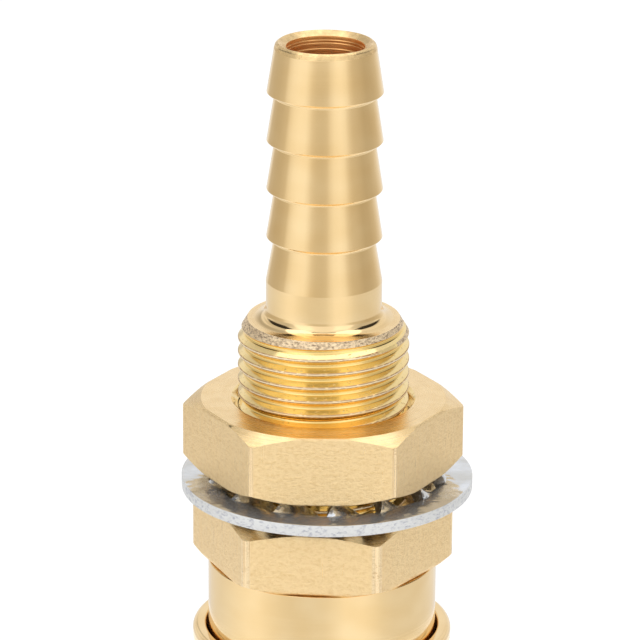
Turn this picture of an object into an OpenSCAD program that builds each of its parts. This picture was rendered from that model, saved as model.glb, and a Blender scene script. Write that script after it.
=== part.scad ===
// Panel-mount quick-coupling socket with a hose tail, in millimetres.
// It stands on its plug mouth: the origin is the centre of the mouth's front face, and +Z runs
// up through the socket, the hex flange and the threaded shank to the open end of the hose tail.

/* [Hose tail] */
// Diameter of the plain stem under the barbs
stem_d = 8; // [7.6:0.1:9]
// Length of the plain stem above the shoulder
stem_len = 2.75; // [2:0.05:6]
// Number of barb ridges above the run-in cone
ridge_count = 4; // [2:1:6]
// Diameter over the ridges
ridge_d = 7.96; // [7.5:0.02:8.6]
// Diameter at the foot of each ridge
ridge_root_d = 6.9; // [6.7:0.05:7.3]
// Distance from one ridge to the next
ridge_pitch = 3.41; // [2.5:0.01:5]
// Length of the run-in cone between the stem and the first ridge
run_in_len = 3.1; // [2:0.1:5]
// Length of the nose above the last ridge
nose_len = 3.51; // [2:0.01:5]
// Diameter of the nose at its open end
nose_end_d = 6.95; // [6.8:0.05:7.4]
// Rounding of the nose's lip
lip_round = 0.2; // [0.05:0.05:0.2]
// Flat left on each ridge's edge
ridge_edge = 0.08; // [0.04:0.01:0.2]
// Hollow rounding between the stem and the shoulder
stem_cove = 0.8; // [0.1:0.05:0.9]
// Diameter of the flow bore through the hose tail
flow_d = 5.35; // [4:0.05:5.6]
// Diameter of the countersunk mouth at the flow bore's open end
mouth_d = 6.45; // [5.8:0.05:6.45]
// Depth of the countersunk mouth
mouth_depth = 0.26; // [0.05:0.01:0.4]

/* [Threaded shank and hex flange] */
// Major diameter of the fine panel thread
thread_d = 11.85; // [11.4:0.05:12.2]
// Pitch of the panel thread
thread_pitch = 1; // [0.75:0.25:1.5]
// Length of the threaded shank, from the flange to the shoulder
shank_len = 13; // [11:0.5:24]
// Diameter of the flat shoulder at the shank's end
shoulder_d = 10.56; // [10:0.02:11.2]
// Height of the chamfer between the shoulder and the thread
shoulder_chamfer = 1.05; // [0.3:0.05:1.3]
// Hex flange, across flats
flange_af = 16; // [15.2:0.1:19]
// Hex flange, height
flange_h = 4.6; // [3:0.1:8]
// Turn of the hex flange against the nut, in degrees
flange_turn = -5.5; // [-30:0.5:30]
// Diameter where the flange's upper chamfer starts
flange_top_d = 15.2; // [13.5:0.1:16]
// Width taken off each corner of the flange, measured on the radius
flange_corner = 0.06; // [0.02:0.01:0.3]
// Slope of the flange's chamfers, in degrees
flange_slope = 24; // [15:1:35]

/* [Panel nut] */
// Nut, across flats
nut_af = 17; // [15:0.5:22]
// Nut, height
nut_h = 4.9; // [3:0.1:8]
// Countersink of the nut's bore, measured on the radius
nut_countersink = 0.42; // [0.1:0.02:0.8]
// Width taken off each corner of the nut, measured on the radius
nut_corner = 0.08; // [0.02:0.01:0.3]
// Slope of the nut's chamfers, in degrees
nut_slope = 28; // [15:1:35]

/* [Lock washer] */
// Outside diameter of the washer
washer_d = 20.3; // [19.5:0.1:24]
// Thickness of the washer
washer_t = 0.8; // [0.4:0.05:1.2]
// Diameter of the circle where the teeth start
tooth_root_d = 16.7; // [15.6:0.1:18]
// Diameter of the circle that the tooth tips reach
tooth_tip_d = 12.6; // [12.6:0.05:14]
// Number of teeth
tooth_count = 14; // [8:1:18]
// Gap between two teeth
tooth_gap = 0.7; // [0.4:0.05:1]
// Twist of each tooth, in degrees
tooth_twist = 38; // [20:1:45]
// Length over which a tooth takes its twist
tooth_bend = 0.9; // [0.5:0.1:1.4]
// How far the loose washer lies off the axis
washer_offset = 0.3; // [0:0.02:0.32]
// How far the loose washer is turned, in degrees
washer_turn = -2.4; // [-13:0.1:13]

/* [Socket body] */
// Diameter of the polished barrel under the flange
barrel_d = 16; // [15.6:0.1:17]
// Bore for the plug
plug_d = 10; // [9.6:0.1:10.2]
// Wall of the front tube that carries the balls
tube_wall = 1.8; // [1.6:0.05:1.95]
// Length of the plug's guide land behind the mouth
guide_land = 5; // [3:0.1:5]
// Chamfer of the mouth
mouth_chamfer = 0.6; // [0.2:0.1:0.9]
// Depth of the relief round the balls
ball_relief = 0.2; // [0.16:0.02:0.3]
// How far that relief runs past the balls
relief_reach = 0.5; // [0.4:0.05:0.6]
// Land between the balls and the plug seal's groove
seal_setback = 1.25; // [1.1:0.05:1.6]
// Land between the plug seal's groove and the stop face
stop_land = 1.15; // [0.8:0.05:1.6]
// Chamfer on the body's outer edges
edge_chamfer = 0.4; // [0.1:0.05:0.5]
// Chamfer of the barrel's edge at the flange
seam_chamfer = 0.12; // [0.05:0.01:0.3]
// Barrel left bare between the sleeve and the flange
bare_len = 5; // [4:0.1:10]
// Length of the thread that joins the tail to the body
joint_len = 4.3; // [3.6:0.1:5]
// Diameter of the thread that joins the tail to the body
joint_d = 13; // [12.6:0.1:13.4]
// Depth of the undercut at the end of that thread
joint_undercut = 0.38; // [0.3:0.02:0.45]
// Chamfer at the start of that thread
joint_chamfer = 0.25; // [0.1:0.05:0.4]

/* [Locking balls] */
// Number of balls, one node each
ball_count = 8; // [8]
// Diameter of a ball
ball_d = 2.38; // [2.2:0.02:2.5]
// How far a locked ball stands into the plug's bore
ball_grip = 0.5; // [0.3:0.02:0.55]
// How far behind the plug's bore a released ball lies
ball_clear = 0.05; // [0.02:0.01:0.1]

/* [Release sleeve] */
// Diameter of the sleeve
sleeve_d = 18; // [17.6:0.1:19]
// Diameter of the bead round the sleeve's rear rim
rim_d = 18.2; // [17.8:0.1:19.4]
// Height of that bead
rim_h = 0.95; // [0.8:0.05:1.6]
// Travel of the sleeve
sleeve_travel = 3.2; // [2:0.1:3.6]
// Height of the inner lip that rests on the retaining ring
lip_h = 0.9; // [0.6:0.1:1.4]
// Height of the release recess above that lip
recess_h = 1.2; // [1:0.1:2]
// Length of the locking land behind the balls
land_len = 2; // [1.5:0.1:3]
// How far the sleeve reaches over the barrel
sleeve_overlap = 1.5; // [1:0.1:3]
// How far the sleeve's front face stays behind the mouth
sleeve_setback = 0.5; // [0.3:0.1:0.8]
// Number of turned grip grooves
grip_count = 5; // [0:1:6]
// Distance from one grip groove to the next
grip_pitch = 1.9; // [1.5:0.1:2.2]
// Depth of a grip groove
grip_depth = 0.3; // [0.1:0.05:0.4]
// Radius of a grip groove's hollow
grip_round = 0.7; // [0.5:0.05:1]

/* [Retaining ring] */
// Wire diameter of the snap ring
ring_wire = 0.9; // [0.7:0.05:1]
// Distance from the mouth's face to the ring
ring_front = 1.05; // [0.9:0.05:1.5]
// How deep the ring sits in the tube
ring_depth = 0.3; // [0.2:0.02:0.35]
// Gap between the ring's two ends
ring_gap = 1.8; // [1:0.1:3]

/* [Valve] */
// Flow passage through the valve seat
seat_d = 7; // [6.6:0.1:7.2]
// Thickness of the web that carries the valve seat, up to the seat's cone
web_h = 0.7; // [0.5:0.1:1.5]
// Height of the 45 degree seat cone
seat_h = 1.2; // [1:0.05:1.4]
// Diameter of the valve chamber
chamber_d = 11.2; // [10.8:0.1:11.4]
// Diameter of the poppet's nose
poppet_nose_d = 4.6; // [3.6:0.1:5]
// How far the nose stands out of the seat's web towards the plug
poppet_reach = 1.4; // [1:0.1:1.8]
// Diameter of the poppet's head
poppet_head_d = 8.8; // [8:0.1:9.2]
// Thickness of the poppet's head
poppet_head_h = 1.05; // [0.8:0.05:1.6]
// Chamfer on the poppet's nose and head
poppet_chamfer = 0.2; // [0.1:0.05:0.3]
// How far the poppet's front land stays clear of the passage
poppet_land_gap = 0.1; // [0.05:0.01:0.2]
// Height of the boss that centres the valve spring
poppet_boss_h = 0.8; // [0.5:0.1:1.2]
// Gap between that boss and the spring
poppet_boss_gap = 0.1; // [0.05:0.01:0.2]
// Diameter of the poppet's stem
poppet_stem_d = 1.8; // [1.4:0.1:2.2]
// How far the stem stands out of the guide
poppet_stem_over = 0.4; // [0.3:0.05:0.6]
// Travel of the poppet
valve_travel = 2.6; // [1.5:0.1:2.8]
// Diameter of the pocket in the tail that holds the valve guide
pocket_d = 9.8; // [9.4:0.1:10.2]
// Width of the ledge at the pocket's end
pocket_ledge = 0.7; // [0.5:0.05:0.9]
// Thickness of the valve guide
guide_h = 1.2; // [0.8:0.1:1.8]
// Width of the guide's rim
guide_rim = 0.7; // [0.5:0.05:0.9]
// Diameter of the guide's hub
guide_hub_d = 4.8; // [4.6:0.1:5.2]
// Width of a guide spoke
guide_spoke = 1.2; // [0.8:0.1:1.6]

/* [Seals] */
// Cord of the O-ring round the plug
plug_seal_cord = 1.2; // [1:0.05:1.3]
// How far that O-ring stands into the plug's bore
plug_seal_squeeze = 0.22; // [0.1:0.02:0.3]
// Side play of that O-ring in its groove
seal_side_play = 0.2; // [0.1:0.02:0.3]
// Cord of the O-ring on the poppet
poppet_seal_cord = 1; // [0.8:0.05:1.1]
// How far that O-ring's middle lies outside the passage and behind its edge
poppet_seal_reach = 0.2; // [0.15:0.01:0.3]
// Cord of the O-ring under the flange
body_seal_cord = 1; // [0.8:0.05:1]
// Room over that O-ring
body_seal_play = 0.1; // [0.05:0.01:0.2]

/* [Springs] */
// Wire of the sleeve spring
sleeve_wire = 0.7; // [0.5:0.05:0.75]
// Fitted length of the sleeve spring
sleeve_spring_len = 8.6; // [8:0.1:14]
// Turns of the sleeve spring
sleeve_turns = 7; // [4:1:7]
// Wire of the valve spring
valve_wire = 0.45; // [0.3:0.05:0.5]
// Fitted length of the valve spring
valve_spring_len = 6.1; // [5.7:0.1:8]
// Turns of the valve spring
valve_turns = 6; // [4:1:6]
// Mean diameter of the valve spring
valve_spring_d = 3.9; // [3.6:0.1:4]

/* [Fits] */
// Radial clearance of the sleeve's lip on the tube
lip_fit = 0.07; // [0.03:0.01:0.1]
// Radial gap between the sleeve's bore and the barrel
barrel_gap = 0.17; // [0.1:0.01:0.25]
// Clearance between the balls and the sleeve
ball_sleeve_fit = 0.04; // [0.03:0.01:0.06]
// Gap between a released ball and the sleeve's lip
ball_lip_gap = 0.19; // [0.1:0.01:0.3]
// Radial clearance of a ball in its hole
ball_hole_fit = 0.02; // [0.01:0.01:0.04]
// Radial room between the retaining ring and the sleeve
ring_room = 0.15; // [0.1:0.01:0.25]
// Radial clearance of the nut on the thread
nut_fit = 0.05; // [0.03:0.01:0.1]
// Radial clearance of the joint between tail and body
joint_fit = 0.04; // [0.02:0.01:0.1]
// Radial clearance of the poppet's stem in its guide
stem_fit = 0.05; // [0.03:0.01:0.1]
// Clearance of a seal, ring or guide in its seat
seat_fit = 0.02; // [0.01:0.01:0.05]

/* [Hidden] */
$fn = 96;
over = 0.5;            // how far a cutting tool runs past the face that it cuts
coil_sides = 8;        // sides of a spring's wire
coil_steps = 24;       // rings along one turn of a spring
end_pitch = 1.06;      // pitch of a spring's closed end turns, in wire diameters
tooth_steps = 6;       // cross-sections along the bend of a washer tooth
tooth_bury = 0.3;      // how far a tooth's foot runs into the washer's ring
brass = [0.86, 0.68, 0.38];
zinc = [0.78, 0.79, 0.82];
steel = [0.72, 0.73, 0.75];
black_rubber = [0.06, 0.06, 0.065];

// Radii
stem_r = stem_d / 2;
ridge_r = ridge_d / 2;
ridge_root_r = ridge_root_d / 2;
flow_r = flow_d / 2;
thread_r = thread_d / 2;
shoulder_r = shoulder_d / 2;
barrel_r = barrel_d / 2;
plug_r = plug_d / 2;
tube_r = plug_r + tube_wall;
joint_r = joint_d / 2;
ball_r = ball_d / 2;
seat_r = seat_d / 2;
chamber_r = chamber_d / 2;
pocket_r = pocket_d / 2;
sleeve_bore_r = barrel_r + barrel_gap;
ring_r = tube_r - ring_depth + ring_wire / 2;
lip_r = tube_r + lip_fit;
ball_locked_r = plug_r - ball_grip + ball_r;
ball_free_r = plug_r + ball_clear + ball_r;
land_r = ball_locked_r + ball_r + ball_sleeve_fit;
recess_r = ball_free_r + ball_r + ball_sleeve_fit;

// Heights, from the mouth up to the hose end
ring_z = ring_front + ring_wire / 2;
lip_z = ring_front + ring_wire + seat_fit;
recess_z = lip_z + lip_h;
ball_chord = sqrt(pow(ball_r, 2) - pow(max(0, lip_r - ball_free_r), 2));
ball_lift = max(recess_h, ball_chord + ball_lip_gap);
ball_z = recess_z + sleeve_travel + ball_lift;
spring_seat_z = ball_z + land_len;
barrel_z = spring_seat_z + sleeve_spring_len;
rim_z = barrel_z + sleeve_overlap;
seam_z = rim_z + bare_len;
flange_z = seam_z + flange_h;
shoulder_z = flange_z + shank_len;
stem_top_z = shoulder_z + stem_len;
first_ridge_z = stem_top_z + run_in_len;
last_ridge_z = first_ridge_z + (ridge_count - 1) * ridge_pitch;
hose_end_z = last_ridge_z + nose_len;

// Plug seal, valve seat and valve
plug_groove_r = plug_r + plug_seal_cord - plug_seal_squeeze + seat_fit;
plug_groove_h = plug_seal_cord + seal_side_play;
plug_groove_z = ball_z + ball_r + seal_setback;
plug_stop_z = plug_groove_z + plug_groove_h + stop_land;
seat_z = plug_stop_z + web_h;
ledge_z = seat_z + seat_h;
joint_z = seam_z - joint_len;
poppet_seal_r = seat_r + poppet_seal_reach;
poppet_groove_r = poppet_seal_r - poppet_seal_cord / 2 - seat_fit;
poppet_seal_z = seat_z + poppet_seal_reach + (poppet_seal_cord / 2 + seat_fit) / sin(45);
head_z = poppet_seal_z + poppet_seal_cord / 2 + seat_fit;
head_top_z = head_z + poppet_head_h;
guide_z = head_top_z + valve_spring_len;
pocket_z = guide_z + guide_h + seat_fit;

// Seal under the flange
undercut_r = joint_r - joint_undercut;
body_seal_r = undercut_r + body_seal_cord / 2 + seat_fit;
body_counterbore_r = body_seal_r + body_seal_cord / 2 + seat_fit;
body_counterbore_h = body_seal_cord + body_seal_play;

// Nut and washer on the shank
washer_reach = tooth_height(tooth_root_d / 2 - tooth_bend);
washer_z = flange_z + seat_fit + washer_reach;
nut_z = washer_z + washer_reach + seat_fit;
nut_bore_r = thread_r + nut_fit;

// Width of a tooth at radius r, and half the height that it takes up there when fully twisted
function tooth_width(r) = 2 * PI * r / tooth_count - tooth_gap;
function tooth_height(r) = tooth_width(r) / 2 * sin(tooth_twist) + washer_t / 2 * cos(tooth_twist);
// Twist at radius r: none at the foot, full once the bend is done
function tooth_turn(r) =
    let (t = max(0, min(1, (tooth_root_d / 2 - r) / tooth_bend)))
    tooth_twist * t * t * (3 - 2 * t);
// The four corners of a tooth's cross-section at radius r
function tooth_section(r) =
    let (w = tooth_width(r) / 2, t = washer_t / 2, a = -tooth_turn(r))
    [for (c = [[-w, -t], [w, -t], [w, t], [-w, t]])
        [r, c[0] * cos(a) - c[1] * sin(a), c[0] * sin(a) + c[1] * cos(a)]];

// Height of a spring's centre line after t of its turns: closed end turns, open ones between
function coil_height(t, wire, length, turns) =
    let (closed = wire * end_pitch,
         open = (length - wire - 2 * closed) / (turns - 2))
    wire / 2 + (t < 1 ? t * closed
        : t > turns - 1 ? length - wire - (turns - t) * closed
        : closed + (t - 1) * open);

// Faces of a tube of rings, each of n points, closed at both ends
function tube_faces(rings, n) = concat(
    [[for (k = [n - 1:-1:0]) k]],
    [for (i = [0:rings - 2], k = [0:n - 1])
        let (a = i * n + k, b = a + n, c = (i + 1) * n + (k + 1) % n, d = c - n)
        each [[a, c, b], [a, d, c]]],
    [[for (k = [0:n - 1]) (rings - 1) * n + k]]
);

module ring_of_points(points) {
    rotate_extrude() polygon(points);
}

module o_ring(mean_r, cord, z) {
    translate([0, 0, z]) rotate_extrude() translate([mean_r, 0]) circle(d = cord);
}

// Round-wire compression spring that stands on z = 0
module wire_spring(mean_r, wire, length, turns) {
    steps = coil_steps * turns;
    points = [for (i = [0:steps], k = [0:coil_sides - 1])
        let (t = i / coil_steps,
             r = mean_r + wire / 2 * cos(360 * k / coil_sides),
             z = coil_height(t, wire, length, turns) + wire / 2 * sin(360 * k / coil_sides))
        [r * cos(360 * t), r * sin(360 * t), z]];
    polyhedron(points, tube_faces(steps + 1, coil_sides), convexity = 10);
}

// Hexagonal bar from z to z + h, chamfered at both ends from circles of radius bottom_r and top_r
module chamfered_hex(af, corner, slope_deg, h, bottom_r, top_r, z, turn) {
    corner_r = af / sqrt(3) - corner;
    slope = tan(slope_deg);
    translate([0, 0, z]) intersection() {
        rotate([0, 0, turn]) cylinder(r = af / sqrt(3), h = h, $fn = 6);
        ring_of_points([
            [0, 0], [bottom_r, 0], [corner_r, (corner_r - bottom_r) * slope],
            [corner_r, h - (corner_r - top_r) * slope], [top_r, h], [0, h]
        ]);
    }
}

// Hollow rounding of radius r between a post of radius post_r and the face at z = 0
module cove(post_r, r) {
    rotate_extrude() difference() {
        translate([post_r - over, 0]) square([over + r, r]);
        translate([post_r + r, r]) circle(r = r);
    }
}

module barb_outline() {
    ring_of_points(concat(
        [[0, shoulder_z - over], [stem_r, shoulder_z - over], [stem_r, stem_top_z],
         [ridge_root_r, first_ridge_z]],
        [for (i = [0:ridge_count - 1]) let (z = first_ridge_z + i * ridge_pitch) each [
            [ridge_r - ridge_edge, z],
            [ridge_r, z + ridge_edge],
            i < ridge_count - 1 ? [ridge_root_r, z + ridge_pitch] : [nose_end_d / 2, hose_end_z - lip_round]
        ]],
        [[nose_end_d / 2 - lip_round, hose_end_z - lip_round], [0, hose_end_z - lip_round]]
    ));
    translate([0, 0, hose_end_z - lip_round]) {
        rotate_extrude() translate([nose_end_d / 2 - lip_round, 0]) intersection() {
            circle(r = lip_round);
            square(lip_round);
        }
        translate([0, 0, -over]) cylinder(r = nose_end_d / 2 - lip_round, h = lip_round + over);
    }
}

module shank_outline() {
    ring_of_points([
        [0, joint_z + joint_fit], [pocket_r, joint_z + joint_fit],
        [joint_r - joint_chamfer, joint_z + joint_fit],
        [joint_r, joint_z + joint_chamfer + joint_fit],
        [joint_r, seam_z - body_counterbore_h], [undercut_r, seam_z - body_counterbore_h],
        [undercut_r, flange_z], [thread_r, flange_z],
        [thread_r, shoulder_z - shoulder_chamfer], [shoulder_r, shoulder_z], [0, shoulder_z]
    ]);
}

module tail_flow_way() {
    funnel_r = pocket_r - pocket_ledge;
    ring_of_points([
        [0, joint_z - over], [pocket_r, joint_z - over], [pocket_r, pocket_z],
        [funnel_r, pocket_z], [flow_r, pocket_z + funnel_r - flow_r],
        [flow_r, hose_end_z - mouth_depth], [mouth_d / 2, hose_end_z],
        [mouth_d / 2, hose_end_z + over], [0, hose_end_z + over]
    ]);
}

module hose_tail() {
    color(brass) difference() {
        union() {
            barb_outline();
            translate([0, 0, shoulder_z]) cove(stem_r, stem_cove);
            shank_outline();
            chamfered_hex(flange_af, flange_corner, flange_slope, flange_h, flange_af / 2,
                flange_top_d / 2, seam_z, flange_turn);
        }
        tail_flow_way();
    }
}

// Pocket of one ball: a round hole from outside that ends in a ball-shaped seat
module ball_pocket(i) {
    rotate([0, 0, ball_angle(i)]) translate([ball_locked_r, 0, ball_z]) {
        sphere(r = ball_r + ball_hole_fit);
        rotate([0, 90, 0]) cylinder(r = ball_r + ball_hole_fit, h = tube_r);
    }
}

function ball_angle(i) = 360 * (i - 0.5) / ball_count;

module socket_outline() {
    ring_of_points([
        [0, 0], [tube_r - edge_chamfer, 0], [tube_r, edge_chamfer],
        [tube_r, barrel_z], [barrel_r - edge_chamfer / 2, barrel_z],
        [barrel_r, barrel_z + edge_chamfer / 2], [barrel_r, seam_z - seam_chamfer],
        [barrel_r - seam_chamfer, seam_z], [0, seam_z]
    ]);
}

module socket_flow_way() {
    relief_r = plug_r + ball_relief;
    guide_end_z = mouth_chamfer + guide_land;
    relief_end_z = ball_z + ball_r + relief_reach;
    ring_of_points([
        [0, -over], [plug_r + mouth_chamfer + over, -over], [plug_r, mouth_chamfer],
        [plug_r, guide_end_z], [relief_r, guide_end_z + ball_relief],
        [relief_r, relief_end_z], [plug_r, relief_end_z + ball_relief],
        [plug_r, plug_groove_z], [plug_groove_r, plug_groove_z],
        [plug_groove_r, plug_groove_z + plug_groove_h], [plug_r, plug_groove_z + plug_groove_h],
        [plug_r, plug_stop_z], [seat_r, plug_stop_z], [seat_r, seat_z],
        [seat_r + seat_h, ledge_z], [chamber_r, ledge_z], [chamber_r, joint_z],
        [joint_r + joint_fit, joint_z], [joint_r + joint_fit, seam_z - body_counterbore_h],
        [body_counterbore_r, seam_z - body_counterbore_h], [body_counterbore_r, seam_z + over],
        [0, seam_z + over]
    ]);
}

module ring_groove() {
    groove_r = tube_r - ring_depth - seat_fit;
    translate([0, 0, ring_front - seat_fit]) difference() {
        cylinder(r = tube_r + over, h = ring_wire + 2 * seat_fit);
        translate([0, 0, -over]) cylinder(r = groove_r, h = ring_wire + 2 * over);
    }
}

module socket_body() {
    color(brass) difference() {
        socket_outline();
        socket_flow_way();
        ring_groove();
        for (i = [1:ball_count]) ball_pocket(i);
    }
}

module body_seal() {
    color(black_rubber)
        o_ring(body_seal_r, body_seal_cord, seam_z - body_counterbore_h / 2);
}

module valve_guide() {
    outer_r = pocket_r - joint_fit;
    inner_r = outer_r - guide_rim;
    color(brass) translate([0, 0, guide_z]) difference() {
        union() {
            difference() {
                cylinder(r = outer_r, h = guide_h);
                translate([0, 0, -over]) cylinder(r = inner_r, h = guide_h + 2 * over);
            }
            cylinder(d = guide_hub_d, h = guide_h);
            for (a = [0, 90]) rotate([0, 0, a])
                translate([-inner_r - guide_rim / 2, -guide_spoke / 2, 0])
                    cube([2 * inner_r + guide_rim, guide_spoke, guide_h]);
        }
        translate([0, 0, -over]) cylinder(r = poppet_stem_d / 2 + stem_fit, h = guide_h + 2 * over);
    }
}

module plug_seal() {
    color(black_rubber) o_ring(plug_r + plug_seal_cord / 2 - plug_seal_squeeze, plug_seal_cord,
        plug_groove_z + plug_groove_h / 2);
}

module retaining_ring() {
    color(steel) difference() {
        o_ring(ring_r, ring_wire, ring_z);
        translate([0, -ring_gap / 2, ring_z - ring_wire])
            cube([2 * ring_r, ring_gap, 2 * ring_wire]);
    }
}

module sleeve_outline() {
    sleeve_r = sleeve_d / 2;
    rim_r = rim_d / 2;
    rim_round = (rim_r - sleeve_bore_r) * 0.45;
    ring_of_points([
        [0, sleeve_setback], [sleeve_r - edge_chamfer, sleeve_setback],
        [sleeve_r, sleeve_setback + edge_chamfer],
        [sleeve_r, rim_z - rim_h - (rim_r - sleeve_r)], [rim_r, rim_z - rim_h],
        [rim_r, rim_z - rim_round], [0, rim_z - rim_round]
    ]);
    translate([0, 0, rim_z - rim_round]) {
        rotate_extrude() translate([rim_r - rim_round, 0]) intersection() {
            circle(r = rim_round);
            square(rim_round);
        }
        translate([0, 0, -over]) cylinder(r = rim_r - rim_round, h = rim_round + over);
    }
}

module sleeve_bore() {
    front_r = ring_r + ring_wire / 2 + ring_room;
    rim_break = (rim_d / 2 - sleeve_bore_r) * 0.2;
    ring_of_points([
        [0, sleeve_setback - over], [front_r, sleeve_setback - over],
        [front_r, lip_z], [lip_r, lip_z], [lip_r, recess_z],
        [recess_r, recess_z], [recess_r, ball_z - sleeve_travel], [land_r, ball_z],
        [land_r, spring_seat_z], [sleeve_bore_r, spring_seat_z],
        [sleeve_bore_r, rim_z - rim_break], [sleeve_bore_r + rim_break, rim_z],
        [sleeve_bore_r + rim_break, rim_z + over], [0, rim_z + over]
    ]);
}

module grip_grooves() {
    groove_r = sleeve_d / 2 + grip_round - grip_depth;
    middle_z = (sleeve_setback + rim_z - rim_h) / 2;
    if (grip_count > 0) for (i = [0:grip_count - 1])
        o_ring(groove_r, 2 * grip_round, middle_z + (i - (grip_count - 1) / 2) * grip_pitch);
}

module release_sleeve() {
    color(brass) difference() {
        sleeve_outline();
        sleeve_bore();
        grip_grooves();
    }
}

module sleeve_spring() {
    color(steel) translate([0, 0, spring_seat_z + seat_fit])
        wire_spring((tube_r + sleeve_bore_r) / 2, sleeve_wire, sleeve_spring_len - 2 * seat_fit,
            sleeve_turns);
}

module valve_poppet() {
    nose_r = poppet_nose_d / 2;
    stem_r_small = poppet_stem_d / 2;
    front_z = plug_stop_z - poppet_reach;
    land_z = plug_stop_z + web_h / 2;
    front_land_r = seat_r - poppet_land_gap;
    boss_r = (valve_spring_d - valve_wire) / 2 - poppet_boss_gap;
    boss_z = head_top_z + poppet_boss_h;
    stem_end_z = pocket_z + poppet_stem_over;
    color(brass) ring_of_points([
        [0, front_z], [nose_r - poppet_chamfer, front_z], [nose_r, front_z + poppet_chamfer],
        [nose_r, land_z - poppet_chamfer], [nose_r + poppet_chamfer, land_z], [front_land_r, land_z],
        [front_land_r, poppet_seal_z - poppet_seal_cord / 2 - seat_fit],
        [poppet_groove_r, poppet_seal_z - poppet_seal_cord / 2 - seat_fit],
        [poppet_groove_r, head_z], [poppet_head_d / 2 - poppet_chamfer, head_z],
        [poppet_head_d / 2, head_z + poppet_chamfer], [poppet_head_d / 2, head_top_z],
        [boss_r, head_top_z], [boss_r, boss_z], [stem_r_small, boss_z],
        [stem_r_small, stem_end_z - poppet_chamfer], [stem_r_small - poppet_chamfer, stem_end_z],
        [0, stem_end_z]
    ]);
}

module poppet_seal() {
    color(black_rubber) o_ring(poppet_seal_r, poppet_seal_cord, poppet_seal_z);
}

module valve_spring() {
    color(steel) translate([0, 0, head_top_z + seat_fit])
        wire_spring(valve_spring_d / 2, valve_wire, valve_spring_len - 2 * seat_fit, valve_turns);
}

module lock_ball(i) {
    color(steel) rotate([0, 0, ball_angle(i)]) translate([ball_locked_r, 0, ball_z])
        sphere(r = ball_r);
}

// One twisted tooth along +X: cross-sections from its foot inside the ring to its tip
module washer_tooth() {
    root_r = tooth_root_d / 2;
    stations = concat([root_r + tooth_bury],
        [for (i = [0:tooth_steps]) root_r - tooth_bend * i / tooth_steps], [tooth_tip_d / 2]);
    points = [for (r = stations) each tooth_section(r)];
    polyhedron(points, tube_faces(len(stations), 4));
}

module lock_washer() {
    color(zinc) translate([washer_offset, 0, washer_z]) rotate([0, 0, washer_turn]) union() {
        difference() {
            translate([0, 0, -washer_t / 2]) cylinder(d = washer_d, h = washer_t);
            translate([0, 0, -washer_t]) cylinder(d = tooth_root_d, h = 2 * washer_t);
        }
        for (i = [0:tooth_count - 1]) rotate([0, 0, 360 * i / tooth_count]) washer_tooth();
    }
}

module panel_nut() {
    color(brass) difference() {
        chamfered_hex(nut_af, nut_corner, nut_slope, nut_h, nut_af / 2, nut_af / 2, nut_z, 0);
        translate([0, 0, nut_z]) ring_of_points([
            [0, -over], [nut_bore_r + nut_countersink + over, -over],
            [nut_bore_r, nut_countersink], [nut_bore_r, nut_h - nut_countersink],
            [nut_bore_r + nut_countersink + over, nut_h + over], [0, nut_h + over]
        ]);
    }
}

hose_tail();
socket_body();
body_seal();
valve_guide();
plug_seal();
retaining_ring();
release_sleeve();
sleeve_spring();
valve_poppet();
poppet_seal();
valve_spring();
lock_ball(1);  // lock_ball_1
lock_ball(2);  // lock_ball_2
lock_ball(3);  // lock_ball_3
lock_ball(4);  // lock_ball_4
lock_ball(5);  // lock_ball_5
lock_ball(6);  // lock_ball_6
lock_ball(7);  // lock_ball_7
lock_ball(8);  // lock_ball_8
lock_washer();
panel_nut();
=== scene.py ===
import math

import bpy
from bpy.props import FloatProperty, FloatVectorProperty, IntProperty, PointerProperty
from mathutils import Matrix, Vector


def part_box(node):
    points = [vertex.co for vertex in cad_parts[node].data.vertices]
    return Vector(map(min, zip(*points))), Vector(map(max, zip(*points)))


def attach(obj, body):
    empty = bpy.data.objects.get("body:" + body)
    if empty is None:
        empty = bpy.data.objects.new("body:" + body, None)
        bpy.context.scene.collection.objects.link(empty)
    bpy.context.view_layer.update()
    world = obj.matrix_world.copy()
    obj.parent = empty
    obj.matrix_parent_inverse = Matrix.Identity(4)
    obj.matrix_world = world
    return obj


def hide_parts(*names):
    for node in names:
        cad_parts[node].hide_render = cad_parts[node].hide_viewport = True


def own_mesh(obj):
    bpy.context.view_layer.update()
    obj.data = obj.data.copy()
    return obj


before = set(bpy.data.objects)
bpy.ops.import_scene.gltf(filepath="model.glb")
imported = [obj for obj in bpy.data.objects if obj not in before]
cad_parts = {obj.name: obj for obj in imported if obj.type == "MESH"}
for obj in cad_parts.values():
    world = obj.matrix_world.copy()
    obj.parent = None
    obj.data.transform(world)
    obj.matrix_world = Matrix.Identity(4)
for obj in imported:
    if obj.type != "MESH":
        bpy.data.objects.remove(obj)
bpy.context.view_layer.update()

bl_info = {
    "name": "Panel Quick Coupling",
    "version": (1, 0, 0),
    "blender": (4, 5, 0),
    "location": "3D View > Sidebar > Coupling",
    "description": "Builds a brass panel-mount quick-coupling socket with a hose tail",
    "category": "Object",
}

MM = 0.001  # the pieces are drawn in millimetres and scaled when they are finished
TURN = 2 * math.pi
ROUND_STEPS = 128  # faces round a turned piece
HELIX_STEPS = 96  # faces along one turn of a thread
BALLS = 8  # locking balls, as the frame has them
SEAT_GAP = 0.02  # millimetres between pieces that touch
OVER = 0.5  # millimetres that a cutting tool runs past the face that it cuts


# ---------------------------------------------------------------- sizes and colours


def millimetres(name, size, description):
    """A length that is shown in scene units and kept in metres."""
    return FloatProperty(
        name=name, description=description, default=size * MM, min=0.0, soft_max=0.1,
        precision=5, step=0.01, unit="LENGTH",
    )


def angle(name, degrees, description):
    """An angle that is shown in degrees."""
    return FloatProperty(
        name=name, description=description, default=math.radians(degrees), subtype="ANGLE"
    )


def count(name, number, description, least, most):
    """A number of like things."""
    return IntProperty(
        name=name, description=description, default=number, min=least, max=most
    )


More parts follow.
